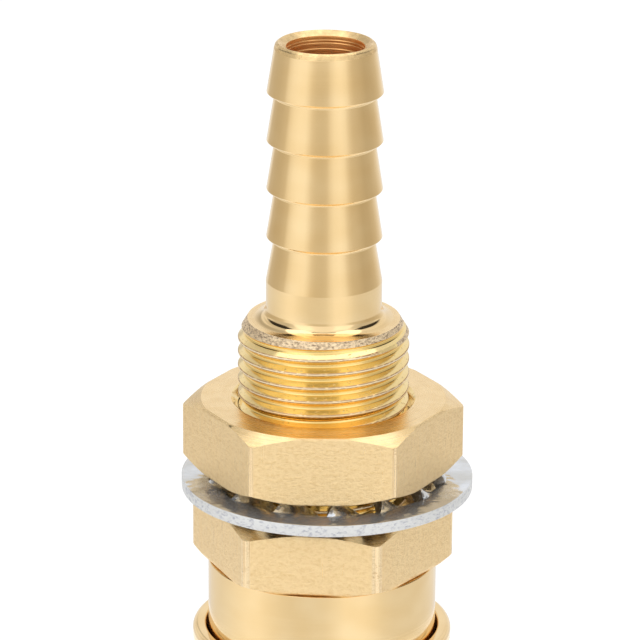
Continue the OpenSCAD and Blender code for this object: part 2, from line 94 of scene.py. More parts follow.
def colour(name, value, description):
    """A surface colour."""
    return FloatVectorProperty(
        name=name, description=description, default=value, min=0.0, max=1.0, size=3,
        subtype="COLOR",
    )


def amount(name, value, description):
    """A share from 0 to 1."""
    return FloatProperty(
        name=name, description=description, default=value, min=0.0, max=1.0,
        subtype="FACTOR",
    )


class TailSizes(bpy.types.PropertyGroup):
    """Sizes of the hose tail"""

    stem_diameter: millimetres("Stem diameter", 8.0, "Plain stem under the barbs")
    stem_length: millimetres("Stem length", 2.75, "Plain stem above the shoulder")
    hollow_tight: millimetres("Hollow at the stem", 0.75, "Radius next to the stem")
    hollow_wide: millimetres("Hollow of the shoulder", 1.6, "Radius over the shoulder")
    ridge_count: count("Ridges", 4, "Number of barb ridges", 1, 8)
    ridge_diameter: millimetres("Ridge diameter", 7.96, "Across the ridges")
    ridge_root: millimetres("Ridge root", 6.9, "Across the foot of each ridge")
    ridge_pitch: millimetres("Ridge pitch", 3.41, "From one ridge to the next")
    run_in: millimetres("Run-in cone", 3.1, "Cone between stem and first ridge")
    nose_diameter: millimetres("Nose diameter", 7.0, "Across the open end")
    lip_height: millimetres("Lip height", 0.42, "Height of the lip's outer chamfer")
    lip_width: millimetres("Lip width", 0.27, "Width of the lip's outer chamfer")
    bore_diameter: millimetres("Flow bore", 5.35, "Bore through the tail")
    mouth_diameter: millimetres("Mouth", 6.45, "Countersunk mouth of the bore")
    mouth_depth: millimetres("Mouth depth", 0.26, "Depth of the countersunk mouth")
    thread_diameter: millimetres("Thread diameter", 11.85, "Over the panel thread")
    thread_pitch: millimetres("Thread pitch", 1.0, "From one crest to the next")
    thread_depth: millimetres("Thread depth", 0.46, "Crest to root, on the radius")
    thread_crest: millimetres("Thread crest", 0.22, "Width of the flat crest")
    thread_start: millimetres("Thread start", 0.07, "Height of a crest at +X, in one pitch")
    shank_length: millimetres("Shank length", 13.0, "Flange to shoulder")
    shoulder_diameter: millimetres("Shoulder diameter", 10.56, "Flat end of the shank")
    shoulder_chamfer: millimetres("Shoulder chamfer", 1.05, "Height of its chamfer")
    flange_flats: millimetres("Flange", 16.0, "Hex flange, across flats")
    flange_height: millimetres("Flange height", 4.6, "Height of the hex flange")
    flange_top: millimetres("Flange top", 15.2, "Where its upper chamfer starts")
    flange_turn: angle("Flange turn", -5.5, "Turn of the flange against the nut")
    spigot_diameter: millimetres("Spigot", 13.0, "Joint thread inside the body")
    pocket_diameter: millimetres("Guide pocket", 9.8, "Pocket for the valve guide")


class SocketSizes(bpy.types.PropertyGroup):
    """Sizes of the nut, the washer, the body and what it holds"""

    nut_flats: millimetres("Nut", 17.0, "Panel nut, across flats")
    nut_countersink: millimetres("Nut countersink", 0.42, "On the radius of its bore")
    nut_clearance: millimetres("Nut clearance", 0.05, "Between the two threads")
    washer_diameter: millimetres("Washer", 20.3, "Outside diameter of the washer")
    washer_thickness: millimetres("Washer thickness", 0.8, "Thickness of the sheet")
    tooth_root: millimetres("Tooth root", 16.7, "Circle where the teeth start")
    tooth_tip: millimetres("Tooth tip", 12.6, "Circle that the teeth reach")
    tooth_count: count("Teeth", 14, "Number of washer teeth", 6, 24)
    tooth_gap: millimetres("Tooth gap", 0.7, "Slot between two teeth")
    tooth_twist: angle("Tooth twist", 38.0, "Twist of each tooth")
    tooth_bend: millimetres("Tooth bend", 0.9, "Length that takes the twist")
    washer_turn: angle("Washer turn", -2.4, "How far the loose washer is turned")
    barrel_diameter: millimetres("Barrel", 16.0, "Polished barrel of the body")
    tube_diameter: millimetres("Front tube", 13.6, "Tube that carries the balls")
    plug_diameter: millimetres("Plug bore", 10.0, "Bore for the plug")
    chamber_diameter: millimetres("Valve chamber", 11.2, "Chamber behind the seat")
    seat_diameter: millimetres("Valve seat", 7.0, "Passage through the seat")
    sleeve_diameter: millimetres("Sleeve", 18.0, "Outside of the release sleeve")
    rim_diameter: millimetres("Sleeve rim", 18.2, "Bead round the rear rim")
    grip_count: count("Grip grooves", 5, "Grooves round the sleeve", 0, 6)
    grip_pitch: millimetres("Grip pitch", 1.9, "From one groove to the next")
    grip_depth: millimetres("Grip depth", 0.3, "Depth of a groove")
    grip_hollow: millimetres("Grip hollow", 0.7, "Radius of a groove's hollow")
    ball_diameter: millimetres("Ball", 2.38, "Locking ball")
    sleeve_wire: millimetres("Sleeve spring wire", 0.7, "Wire of the sleeve spring")
    sleeve_turns: count("Sleeve spring turns", 7, "Turns of its coil", 4, 12)
    valve_wire: millimetres("Valve spring wire", 0.45, "Wire of the valve spring")
    valve_turns: count("Valve spring turns", 6, "Turns of its coil", 4, 12)


class Finishes(bpy.types.PropertyGroup):
    """Colours and polish of the materials"""

    brass: colour("Brass", (0.96, 0.725, 0.40), "Colour of all brass pieces")
    zinc: colour("Zinc", (0.80, 0.84, 0.91), "Colour of the plated washer")
    steel: colour("Steel", (0.66, 0.66, 0.67), "Colour of springs, ring and balls")
    rubber: colour("Rubber", (0.025, 0.025, 0.028), "Colour of the seals")
    polish: amount("Polish", 0.09, "Roughness of the polished brass")
    brushing: amount("Brushing", 0.34, "Roughness of the hexagon flats")


def mm(value):
    """A property's length in millimetres."""
    return value / MM


def half_mm(value):
    """Half a property's length in millimetres, such as a radius."""
    return value / MM / 2


def span(box):
    """Bottom and top of a node's box in millimetres."""
    low, high = box
    return low.z / MM, high.z / MM


def mid_height(box):
    """Height of a box's middle in millimetres."""
    low, high = box
    return (low.z + high.z) / 2 / MM


# ---------------------------------------------------------------- drawing and turning


def deselect_all():
    """Leaves nothing selected, so that the next operator acts on one piece."""
    if bpy.context.object and bpy.context.object.mode != "OBJECT":
        bpy.ops.object.mode_set(mode="OBJECT")
    bpy.ops.object.select_all(action="DESELECT")


def make_active(piece):
    """Selects one piece and makes it active."""
    deselect_all()
    piece.select_set(True)
    bpy.context.view_layer.objects.active = piece


def settle(piece):
    """Moves a piece's place, turn and scale into its mesh."""
    make_active(piece)
    bpy.ops.object.transform_apply(location=True, rotation=True, scale=True)
    return piece


def apply_modifier(piece, kind, **settings):
    """Gives a piece a modifier with its settings, and applies it."""
    make_active(piece)
    step = piece.modifiers.new(kind.lower(), kind)
    for key, value in settings.items():
        setattr(step, key, value)
    bpy.ops.object.modifier_apply(modifier=step.name)
    return piece


def rounded(corners, closed=True):
    """An outline's points. A corner's third value is its rounding radius."""
    points = []
    for i, corner in enumerate(corners):
        here = Vector(corner[:2])
        end = not closed and i in (0, len(corners) - 1)
        if len(corner) < 3 or not corner[2] or end:
            points.append(here)
            continue
        back = (Vector(corners[i - 1][:2]) - here).normalized()
        ahead = (Vector(corners[(i + 1) % len(corners)][:2]) - here).normalized()
        half = back.angle(ahead) / 2
        centre = here + (back + ahead).normalized() * (corner[2] / math.sin(half))
        first = here + back * (corner[2] / math.tan(half)) - centre
        last = here + ahead * (corner[2] / math.tan(half)) - centre
        sweep = math.copysign(math.pi - 2 * half, first.x * last.y - first.y * last.x)
        steps = 3 if corner[2] < 0.15 else 8
        for step in range(steps + 1):
            a = sweep * step / steps
            x = first.x * math.cos(a) - first.y * math.sin(a)
            y = first.x * math.sin(a) + first.y * math.cos(a)
            points.append(centre + Vector((x, y)))
    return points


def circle(middle_r, middle_z, radius, steps):
    """An outline's points on a circle."""
    turns = [TURN * k / steps for k in range(steps)]
    return [(middle_r + radius * math.cos(a), middle_z + radius * math.sin(a)) for a in turns]


def ball_arc(radius, steps, last):
    """Points up a ball's outline from beside its lower pole; the steps divide half a turn."""
    turns = [a * math.pi / steps for a in range(1, last + 1)]
    return [(radius * math.sin(a), -radius * math.cos(a)) for a in turns]


def draw_outline(name, points, closed=True):
    """Draws an outline in the XZ plane, by extruding one vertex along it."""
    deselect_all()
    bpy.ops.mesh.primitive_plane_add(size=1.0, location=(0, 0, 0))
    piece = bpy.context.object
    piece.name = piece.data.name = name
    bpy.ops.object.mode_set(mode="EDIT")
    bpy.ops.mesh.select_all(action="SELECT")
    bpy.ops.mesh.merge(type="CENTER")
    bpy.ops.transform.translate(value=(points[0][0], 0, points[0][1]))
    path = list(points) + ([points[0]] if closed else [])
    for here, there in zip(path, path[1:]):
        move = (there[0] - here[0], 0, there[1] - here[1])
        bpy.ops.mesh.extrude_vertices_move(TRANSFORM_OT_translate={"value": move})
    bpy.ops.mesh.select_all(action="SELECT")
    bpy.ops.mesh.remove_doubles(threshold=0.0002)
    return piece


def close_and_turn_out():
    """Merges what meets and turns all faces outwards, in edit mode."""
    bpy.ops.mesh.select_all(action="SELECT")
    bpy.ops.mesh.remove_doubles(threshold=0.0005)
    bpy.ops.mesh.select_all(action="SELECT")
    bpy.ops.mesh.normals_make_consistent(inside=False)
    bpy.ops.object.mode_set(mode="OBJECT")


def cap_ends():
    """Fills the open ends of a swept shape and closes it, in edit mode."""
    bpy.ops.mesh.select_all(action="DESELECT")
    bpy.ops.mesh.select_mode(type="VERT")
    bpy.ops.mesh.select_non_manifold(extend=False)
    bpy.ops.mesh.fill_holes(sides=0)
    close_and_turn_out()


def turned(name, corners, closed=True, steps=ROUND_STEPS):
    """A piece turned on the lathe about Z from its outline."""
    piece = draw_outline(name, rounded(corners, closed), closed)
    bpy.ops.mesh.spin(steps=steps, angle=TURN, center=(0, 0, 0), axis=(0, 0, 1))
    close_and_turn_out()
    return piece


def helical_ridge(name, section, pitch, start, turns):
    """A ridge of one cross-section that climbs round Z, right-handed."""
    piece = draw_outline(name, [(r, z + start) for r, z in section])
    apply_modifier(
        piece, "SCREW", axis="Z", angle=TURN, screw_offset=pitch, iterations=turns,
        steps=HELIX_STEPS, render_steps=HELIX_STEPS, use_merge_vertices=False,
    )
    bpy.ops.object.mode_set(mode="EDIT")
    cap_ends()
    return piece


def combine(piece, tool, operation):
    """Joins, cuts or crosses a piece with a tool, and clears the tool away."""
    apply_modifier(piece, "BOOLEAN", operation=operation, object=tool, solver="EXACT")
    bpy.data.objects.remove(tool, do_unlink=True)
    return piece


def soften(piece, width, steps=2):
    """Breaks a piece's sharp edges."""
    return apply_modifier(
        piece, "BEVEL", width=width, segments=steps, limit_method="ANGLE",
        angle_limit=math.radians(50), use_clamp_overlap=True,
    )


def copy_of(piece, name):
    """A copy with its own mesh."""
    other = piece.copy()
    other.data = piece.data.copy()
    other.name = other.data.name = name
    bpy.context.collection.objects.link(other)
    return other


def turn_about_z(piece, radians):
    """Turns a piece's mesh about Z."""
    piece.rotation_euler = (0, 0, radians)
    return settle(piece)


def finish(piece, body, slot, *nodes, smooth=30.0):
    """Scales a piece to metres, smooths it, and ties it to its body."""
    piece.scale = (MM, MM, MM)
    settle(piece)
    bpy.ops.object.shade_smooth_by_angle(angle=math.radians(smooth))
    apply_modifier(piece, "WEIGHTED_NORMAL", keep_sharp=True, weight=50)
    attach(piece, body)
    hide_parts(*nodes)
    return piece


# ---------------------------------------------------------------- materials


def add_node(tree, kind, **settings):
    """Adds a node. A setting is one of its properties, or an input by its name (with _
    for a space) or number (after _), as a value or as a socket to link."""
    node = tree.nodes.new(kind)
    for key, value in settings.items():
        if hasattr(node, key):
            setattr(node, key, value)
            continue
        socket = node.inputs[int(key[1:]) if key[0] == "_" else key.replace("_", " ")]
        if isinstance(value, bpy.types.NodeSocket):
            tree.links.new(value, socket)
        else:
            socket.default_value = value
    return node


class Surface:
    """One material while its nodes are put together."""

    def __init__(self, name, base, roughness, metallic=1.0):
        self.material = bpy.data.materials.get(name) or bpy.data.materials.new(name)
        self.material.use_nodes = True
        self.tree = self.material.node_tree
        for node in list(self.tree.nodes):
            if node.type not in {"BSDF_PRINCIPLED", "OUTPUT_MATERIAL"}:
                self.tree.nodes.remove(node)
        self.sockets = self.tree.nodes["Principled BSDF"].inputs
        self.base = (*base, 1.0)
        self.sockets["Base Color"].default_value = self.base
        self.sockets["Metallic"].default_value = metallic
        self.sockets["Roughness"].default_value = roughness
        self.material.diffuse_color = self.base
        self.relief = None

    def place(self, scale):
        """Object coordinates in millimetres, stretched by a scale."""
        source = add_node(self.tree, "ShaderNodeTexCoord").outputs["Object"]
        scale = [s / MM for s in scale]
        return add_node(self.tree, "ShaderNodeMapping", Vector=source, Scale=scale).outputs[0]

    def noise(self, where, detail, roughness):
        """Noise from 0 to 1 over a place."""
        return add_node(
            self.tree, "ShaderNodeTexNoise", Vector=where, Scale=1.0, Detail=detail,
            Roughness=roughness,
        ).outputs[0]

    def rings(self, scale, detail, roughness):
        """Noise over the distance from the Z axis in millimetres."""
        flat = self.place((1, 1, 0))
        away = add_node(self.tree, "ShaderNodeVectorMath", operation="LENGTH", _0=flat)
        return add_node(
            self.tree, "ShaderNodeTexNoise", noise_dimensions="1D", W=away.outputs["Value"],
            Scale=scale, Detail=detail, Roughness=roughness,
        ).outputs[0]

    def rescale(self, value, low, high, to_low, to_high):
        """A value brought from one range to another, and clamped."""
        return add_node(
            self.tree, "ShaderNodeMapRange", _0=value, From_Min=low, From_Max=high,
            To_Min=to_low, To_Max=to_high,
        ).outputs[0]

    def bump(self, height, microns):
        """Adds relief of some microns."""
        node = add_node(self.tree, "ShaderNodeBump", Height=height, Distance=microns * 1e-6)
        if self.relief:
            self.tree.links.new(self.relief, node.inputs["Normal"])
        self.relief = node.outputs["Normal"]
        self.tree.links.new(self.relief, self.sockets["Normal"])

    def rough(self, value, low, high):
        """Roughness that follows a value."""
        share = self.rescale(value, 0.3, 0.7, low, high)
        self.tree.links.new(share, self.sockets["Roughness"])

    def tint(self, value, other, low=0.3, high=0.7):
        """Base colour that goes from the base to another colour with a value."""
        share = self.rescale(value, low, high, 0.0, 1.0)
        mix = add_node(
            self.tree, "ShaderNodeMix", data_type="RGBA", _0=share, _6=self.base,
            _7=(*other, 1.0),
        )
        self.tree.links.new(mix.outputs[2], self.sockets["Base Color"])

    def grain(self, scale, detail, roughness=0.5, rough=None, tint=None, bump=None):
        """Noise over the surface that may roughen it, tint it and give it relief."""
        value = self.noise(self.place(scale), detail, roughness)
        if rough:
            self.rough(value, *rough)
        if tint:
            self.tint(value, *tint)
        if bump:
            self.bump(value, bump)
        return value


def darker(base, share):
    """The same colour, darker and a little redder."""
    return (base[0] * share, base[1] * share * 0.96, base[2] * share * 0.88)


def paler(base, share):
    """The same colour, brought towards white."""
    return tuple(c + (1 - c) * share for c in base)


def chosen(name):
    """A colour or polish as the user has set it."""
    return getattr(bpy.context.scene.coupling_finishes, name)


def polished_brass():
    """Turned and polished: faint marks along the cut, very slight waves."""
    brass, polish = chosen("brass"), chosen("polish")
    s = Surface("polished_brass", brass, polish)
    s.grain((0.05, 0.05, 9.0), 4.0, rough=(polish * 0.7, polish * 1.6), bump=1.2)
    s.grain((0.35, 0.35, 0.5), 1.0, tint=(darker(brass, 0.95),), bump=14.0)
    return s.material


def bore_brass():
    """Drilled: clear rings along the bore. Its deep orange is painted reflection of the bore's brass
    walls.
    """
    # deep orange base: painted reflection of brass inside the bore
    s = Surface("bore_brass", (0.92, 0.52, 0.2), 0.35)
    s.grain((0.2, 0.2, 3.5), 5.0, 0.6, rough=(0.3, 0.5), bump=30.0)
    return s.material


def faced_brass():
    """Faced on the lathe: fine rings round the axis."""
    brass = chosen("brass")
    s = Surface("faced_brass", brass, 0.28)
    rings = s.rings(5.5, 4.0, 0.7)
    s.rough(rings, 0.18, 0.34)
    s.bump(rings, 8.0)
    s.grain((1.2, 1.2, 1.2), 3.0, tint=(darker(brass, 0.93),))
    return s.material


def lip_brass():
    """Lip of the hose end, dulled in spots by handling."""
    brass = chosen("brass")
    s = Surface("lip_brass", darker(brass, 0.95), 0.3)
    dull = (darker(brass, 0.68), 0.42, 0.7)
    s.grain((1.5, 1.5, 1.5), 4.0, 0.6, rough=(0.22, 0.4), tint=dull, bump=40.0)
    return s.material


def torn_brass():
    """The thread's chamfer, left coarse by the tool."""
    s = Surface("torn_brass", paler(chosen("brass"), 0.2), 0.42)
    torn = ((0.30, 0.20, 0.13), 0.44, 0.66)
    s.grain((3.6, 3.6, 9.0), 3.0, 0.8, rough=(0.3, 0.5), tint=torn, bump=90.0)
    return s.material


def burr_brass():
    """Edges of the thread's crest: a thin dull brown line."""
    s = Surface("burr_brass", (0.54, 0.34, 0.18), 0.4)
    s.grain((2.4, 2.4, 5.0), 4.0, 0.7, tint=(chosen("brass"), 0.52, 0.6), bump=20.0)
    return s.material


def thread_brass():
    """Cut thread: clean flanks with some torn spots."""
    s = Surface("thread_brass", (0.965, 0.75, 0.36), 0.12)
    s.grain((0.6, 0.6, 6.0), 3.0, rough=(0.09, 0.18), bump=3.0)
    spots = s.noise(s.place((3.0, 3.0, 5.0)), 4.0, 0.7)
    s.bump(s.rescale(spots, 0.62, 0.72, 0.0, 1.0), 24.0)
    return s.material


def root_brass():
    """Bottom of the thread: its deeper gold is painted reflection of the brass flanks round it."""
    s = Surface("root_brass", (0.97, 0.70, 0.27), 0.14)
    s.grain((0.6, 0.6, 6.0), 3.0, rough=(0.1, 0.2), bump=3.0)
    return s.material


def crest_brass():
    """Flat crest of the thread, painted pale cream as a highlight, with darker chips."""
    # pale cream base: painted highlight on the crest
    s = Surface("crest_brass", (0.99, 0.87, 0.63), 0.42)
    chips = ((0.66, 0.46, 0.30), 0.58, 0.66)
    s.grain((2.2, 2.2, 6.0), 4.0, 0.7, tint=chips, bump=30.0)
    return s.material


def drawn_brass():
    """Flats of the hexagon bar: drawn grain along the bar, and pits."""
    brass, brushing = chosen("brass"), chosen("brushing")
    s = Surface("drawn_brass", brass, brushing)
    s.grain((5.0, 5.0, 0.25), 3.0, 0.6, rough=(brushing * 0.8, brushing * 1.2), bump=26.0)
    pits = (darker(brass, 0.9), 0.45, 0.65)
    s.grain((2.6, 2.6, 4.4), 4.0, 0.75, tint=pits, bump=130.0)
    return s.material


def worn_brass():
    """The bar's long edges, rubbed pale, with lines along them."""
    s = Surface("worn_brass", paler(chosen("brass"), 0.1), 0.25)
    lines = s.grain((7.0, 7.0, 0.12), 2.0, 0.6, bump=30.0)
    dents = s.grain((2.0, 2.0, 2.6), 4.0, 0.7, bump=40.0)
    either = add_node(s.tree, "ShaderNodeMath", operation="MAXIMUM", _0=lines, _1=dents)
    s.tint(either.outputs[0], (0.66, 0.44, 0.22), 0.54, 0.7)
    return s.material


def zinc_plate():
    """Bright zinc on a stamped washer."""
    zinc = chosen("zinc")
    s = Surface("zinc_plate", zinc, 0.16, metallic=0.8)
    s.grain((0.6, 0.6, 0.6), 2.0, tint=(darker(zinc, 0.82),), bump=140.0)
    s.grain((6.0, 6.0, 6.0), 4.0, rough=(0.08, 0.18), bump=2.0)
    return s.material


def tooth_zinc():
    """Zinc on the twisted teeth under the nut: its darker base and dark spots are painted shade."""
    zinc = chosen("zinc")
    s = Surface("tooth_zinc", darker(zinc, 0.85), 0.25, metallic=0.9)
    s.grain((1.5, 1.5, 1.5), 3.0, tint=(darker(zinc, 0.5), 0.45, 0.65), bump=60.0)
    return s.material


def sheared_zinc():
    """The washer's cut edge: coarse and pale."""
    s = Surface("sheared_zinc", darker(chosen("zinc"), 0.98), 0.45, metallic=0.8)
    torn = ((0.46, 0.47, 0.53), 0.5, 0.68)
    s.grain((2.6, 2.6, 5.0), 4.0, 0.7, rough=(0.3, 0.5), tint=torn, bump=110.0)
    return s.material


def torn_zinc():
    """Sides of the teeth, torn when they were punched, and the rim's bevels; on the teeth under the
    nut the dark base is also painted shade.
    """
    s = Surface("torn_zinc", (0.30, 0.29, 0.28), 0.4)
    s.grain((3.0, 3.0, 3.0), 4.0, 0.7, tint=((0.66, 0.68, 0.72), 0.5, 0.66), bump=60.0)
    return s.material


def spring_steel():
    """Drawn stainless wire."""
    s = Surface("spring_steel", chosen("steel"), 0.25)
    s.grain((3.0, 3.0, 3.0), 4.0, rough=(0.2, 0.34), bump=3.0)
    return s.material


def ball_steel():
    """Lapped stainless balls."""
    s = Surface("ball_steel", chosen("steel"), 0.08)
    s.grain((1.5, 1.5, 1.5), 2.0, rough=(0.05, 0.12))
    return s.material


def seal_rubber():
    """Satin black rubber with a light bloom."""
    s = Surface("seal_rubber", chosen("rubber"), 0.5, metallic=0.0)
    bloom = ((0.045, 0.045, 0.05),)
    s.grain((2.5, 2.5, 2.5), 4.0, rough=(0.42, 0.6), tint=bloom, bump=6.0)
    return s.material


def paint(piece, *rules):
    """Gives a piece its materials. A rule is a material and a test of a face's centre
    and normal, in millimetres; the first material is for faces that no test takes."""
    piece.data.materials.clear()
    for material, _ in rules:
        piece.data.materials.append(material)
    for polygon in piece.data.polygons:
        polygon.material_index = 0
        c = polygon.center / MM
        for index, (_, test) in enumerate(rules):
            if test and test(math.hypot(c.x, c.y), c.z, polygon.normal):
                polygon.material_index = index
                break


# ---------------------------------------------------------------- pieces


def on_corner(normal, turn):
    """True where a normal points between two flats of a hexagon turned this much."""
    if abs(normal.z) > 0.3:
        return False
    from_flat = (math.atan2(normal.y, normal.x) - turn - math.pi / 6) % (math.pi / 3)
    margin = 0.14
    return margin < from_flat < math.pi / 3 - margin


def thread_section(crest_radius, depth, crest, pitch, extra=0.0):
    """Section of a 60 degree ridge that ends in half of a rounded root on each side
    and runs into the core under it."""
    half = crest / 2 + extra
    foot = pitch / 2 + extra
    slope = math.tan(math.radians(30))
    root = (foot - half - depth * slope) / (math.cos(math.radians(30)) - slope / 2)
    straight = depth - root / 2
    side = [  # the crest's edge is broken first
        (crest_radius, half - 0.07),
        (crest_radius - 0.035, half - 0.005),
        (crest_radius - straight, half + straight * slope),
    ]
    for degrees in (45, 30, 15, 5):
        a = math.radians(degrees)
        side.append((crest_radius - depth + root * (1 - math.cos(a)), foot - root * math.sin(a)))
    side.append((crest_radius - depth - 0.12, side[-1][1]))
    return [(r, -z) for r, z in reversed(side)] + side


def hexagon_bar(name, flats, low, high, turn, edge, ends):
    """A piece of hexagon bar between two heights, its ends turned down. The ends are the
    radius left at the corners, the chamfer's slope in degrees, the radius and rounding
    of the lower face, and the radius of the upper face."""
    corner_r, degrees, low_r, low_round, top_r = ends
    slope = math.tan(math.radians(degrees))
    deselect_all()
    bpy.ops.mesh.primitive_cylinder_add(
        vertices=6,
        radius=flats / math.sqrt(3),
        depth=high - low,
        location=(0, 0, (low + high) / 2),
        rotation=(0, 0, math.radians(30) + turn),
    )
    bar = settle(bpy.context.object)
    bar.name = bar.data.name = name
    soften(bar, edge, steps=3)
    outline = [
        (0, low),
        (low_r, low, low_round),
        (corner_r, low + (corner_r - low_r) * slope, 0.1),
        (corner_r, high - (corner_r - top_r) * slope, 0.1),
        (top_r, high, 0.05),
        (0, high),
    ]
    return combine(bar, turned(name + "_ends", outline, closed=False), "INTERSECT")


class COUPLING_OT_hose_tail(bpy.types.Operator):
    """Hose tail: barbs, shoulder, panel thread and hex flange, in one piece"""

    bl_idname = "coupling.hose_tail"
    bl_label = "Hose Tail"

    def execute(self, context):
        s = context.scene.coupling_tail
        bottom, top = span(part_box("hose_tail"))
        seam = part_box("socket_body")[1].z / MM
        flange = seam + mm(s.flange_height)
        shoulder = flange + mm(s.shank_length)
        stem = shoulder + mm(s.stem_length)
        ridge = stem + mm(s.run_in)
        pitch = mm(s.ridge_pitch)
        stem_r = half_mm(s.stem_diameter)
        ridge_r = half_mm(s.ridge_diameter)
        root_r = half_mm(s.ridge_root)
        nose_r = half_mm(s.nose_diameter)
        bore_r = half_mm(s.bore_diameter)
        thread_r = half_mm(s.thread_diameter)
        core_r = thread_r - mm(s.thread_depth)
        spigot_r = half_mm(s.spigot_diameter)
        pocket_r = half_mm(s.pocket_diameter)
        shoulder_r = half_mm(s.shoulder_diameter)
        drop = mm(s.shoulder_chamfer)
        run = thread_r - shoulder_r
        tight, wide, change = mm(s.hollow_tight), mm(s.hollow_wide), math.radians(58)
        hollow_r = stem_r + tight * (1 - math.cos(change)) + wide * math.cos(change)
        hollow_top = shoulder + tight * math.sin(change) + wide * (1 - math.sin(change))
        hollow = []
        for degrees in range(0, 91, 5):
            a = math.radians(degrees)
            if a < change:
                r = stem_r + tight * (1 - math.cos(a))
                z = hollow_top - tight * math.sin(a)
            else:
                r = hollow_r - wide * math.cos(a)
                z = shoulder + wide * (1 - math.sin(a))
            hollow.append((r, z))
        pocket_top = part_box("valve_guide")[1].z / MM + SEAT_GAP
        ledge_r = pocket_r - 0.7
        neck_r = spigot_r - 0.38
        neck = seam - 1.1
        root = flange - 0.4  # the shank's core runs this far down into the flange
        ridge_edge = 0.09
        outline = [
            (pocket_r, bottom, 0.05),
            (pocket_r, pocket_top),
            (ledge_r, pocket_top),
            (bore_r, pocket_top + ledge_r - bore_r),
        ]
        for depth in (1.15, 0.75, 0.54):  # scored rings inside the mouth
            z = top - depth
            outline += [(bore_r, z - 0.07), (bore_r + 0.05, z), (bore_r, z + 0.02)]
        outline += [
            (bore_r, top - mm(s.mouth_depth) - 0.03, 0.02),
            (half_mm(s.mouth_diameter) - 0.03, top, 0.05),
            (nose_r - mm(s.lip_width), top, 0.08),
            (nose_r - mm(s.lip_width) * 0.3, top - mm(s.lip_height) * 0.35, 0.2),
            (nose_r, top - mm(s.lip_height), 0.2),
        ]
        for i in reversed(range(s.ridge_count)):
            z = ridge + i * pitch
            outline += [
                (ridge_r, z + ridge_edge, 0.02),
                (ridge_r - 0.07, z, 0.02),
                (root_r, z, 0.3),
            ]
        outline += [
            (stem_r, stem, 0.5),
            *hollow,
            (shoulder_r, shoulder, 0.02),
            (core_r, shoulder - (core_r - shoulder_r) * drop / run - 0.03),
            (core_r, root),
            (neck_r, root),
            (neck_r, neck),
            (spigot_r, neck, 0.05),
            (spigot_r, bottom + 0.25),
            (spigot_r - 0.25, bottom),
        ]
        tail = turned("tail", outline)
        climb = mm(s.thread_pitch)
        ridges = helical_ridge(
            "tail_thread",
            thread_section(thread_r, mm(s.thread_depth), mm(s.thread_crest), climb),
            climb,
            math.floor(flange) + mm(s.thread_start),
            math.ceil(mm(s.shank_length) / climb) + 2,
        )
        reach = 0.3  # how far the cutter runs past the crests
        limits = [
            (0, flange - 0.9),
            (thread_r + reach, flange - 0.9),
            (thread_r + reach, shoulder - drop - reach * drop / run),
            (shoulder_r, shoulder - 0.002),
            (0, shoulder - 0.002),
        ]
        combine(ridges, turned("tail_limits", limits, closed=False), "INTERSECT")
        flats = mm(s.flange_flats)
        corner_r = flats / math.sqrt(3) - 0.06
        ends = (corner_r, 24, flats / 2, 0.0, half_mm(s.flange_top))
        flange_bar = hexagon_bar("tail_flange", flats, seam, flange, s.flange_turn, 0.42, ends)
        edge_r = 8.5  # only the bar's long edges reach beyond this radius
        flat_r = 6.8  # the bar's faces all lie beyond this one
        wall_r = (bore_r + core_r) / 2
        low, high = seam - OVER, flange + OVER
        drill = [(0, low), (wall_r, low), (wall_r, high), (0, high)]
        combine(flange_bar, turned("tail_hole", drill, closed=False), "DIFFERENCE")
        combine(tail, flange_bar, "UNION")
        combine(tail, ridges, "UNION")
        finish(tail, "coupling_body", "brass", "hose_tail", smooth=25.0)
        paint(
            tail,
            (polished_brass(), None),
            # the bore: deep orange as painted reflection
            (bore_brass(), lambda r, z, n: r < bore_r + 0.05),
            (lip_brass(), lambda r, z, n: z > top - mm(s.lip_height) - 0.15 and n.z > 0.25),
            (
                faced_brass(),
                lambda r, z, n: (n.z > 0.97 and shoulder - 0.1 < z < shoulder + 0.05)
                or (n.z > 0.8 and flange - 1.2 < z < flange + 0.1),
            ),
            (
                torn_brass(),
                lambda r, z, n: shoulder - drop * 0.88 < z < shoulder
                and 0.3 < n.z < 0.95
                and abs(r + (z - shoulder) * run / drop - shoulder_r) < 0.025,
            ),
            (
                burr_brass(),
                lambda r, z, n: flange < z < shoulder
                and thread_r - 0.05 < r < thread_r + 0.1
                and 0.3 < abs(n.z) < 0.85,
            ),
            (
                crest_brass(),
                lambda r, z, n: flange < z < shoulder and abs(r - thread_r) < 0.02,
            ),
            # the thread's root: deeper gold as painted reflection in the groove
            (root_brass(), lambda r, z, n: flange < z < shoulder and r < core_r + 0.16),
            (thread_brass(), lambda r, z, n: flange < z < shoulder and r < thread_r + 0.1),
            (
                worn_brass(),
                lambda r, z, n: seam < z < flange and r > edge_r and on_corner(n, s.flange_turn),
            ),
            (drawn_brass(), lambda r, z, n: seam - 0.05 < z < flange + 0.05 and r > flat_r),
        )
        return {"FINISHED"}


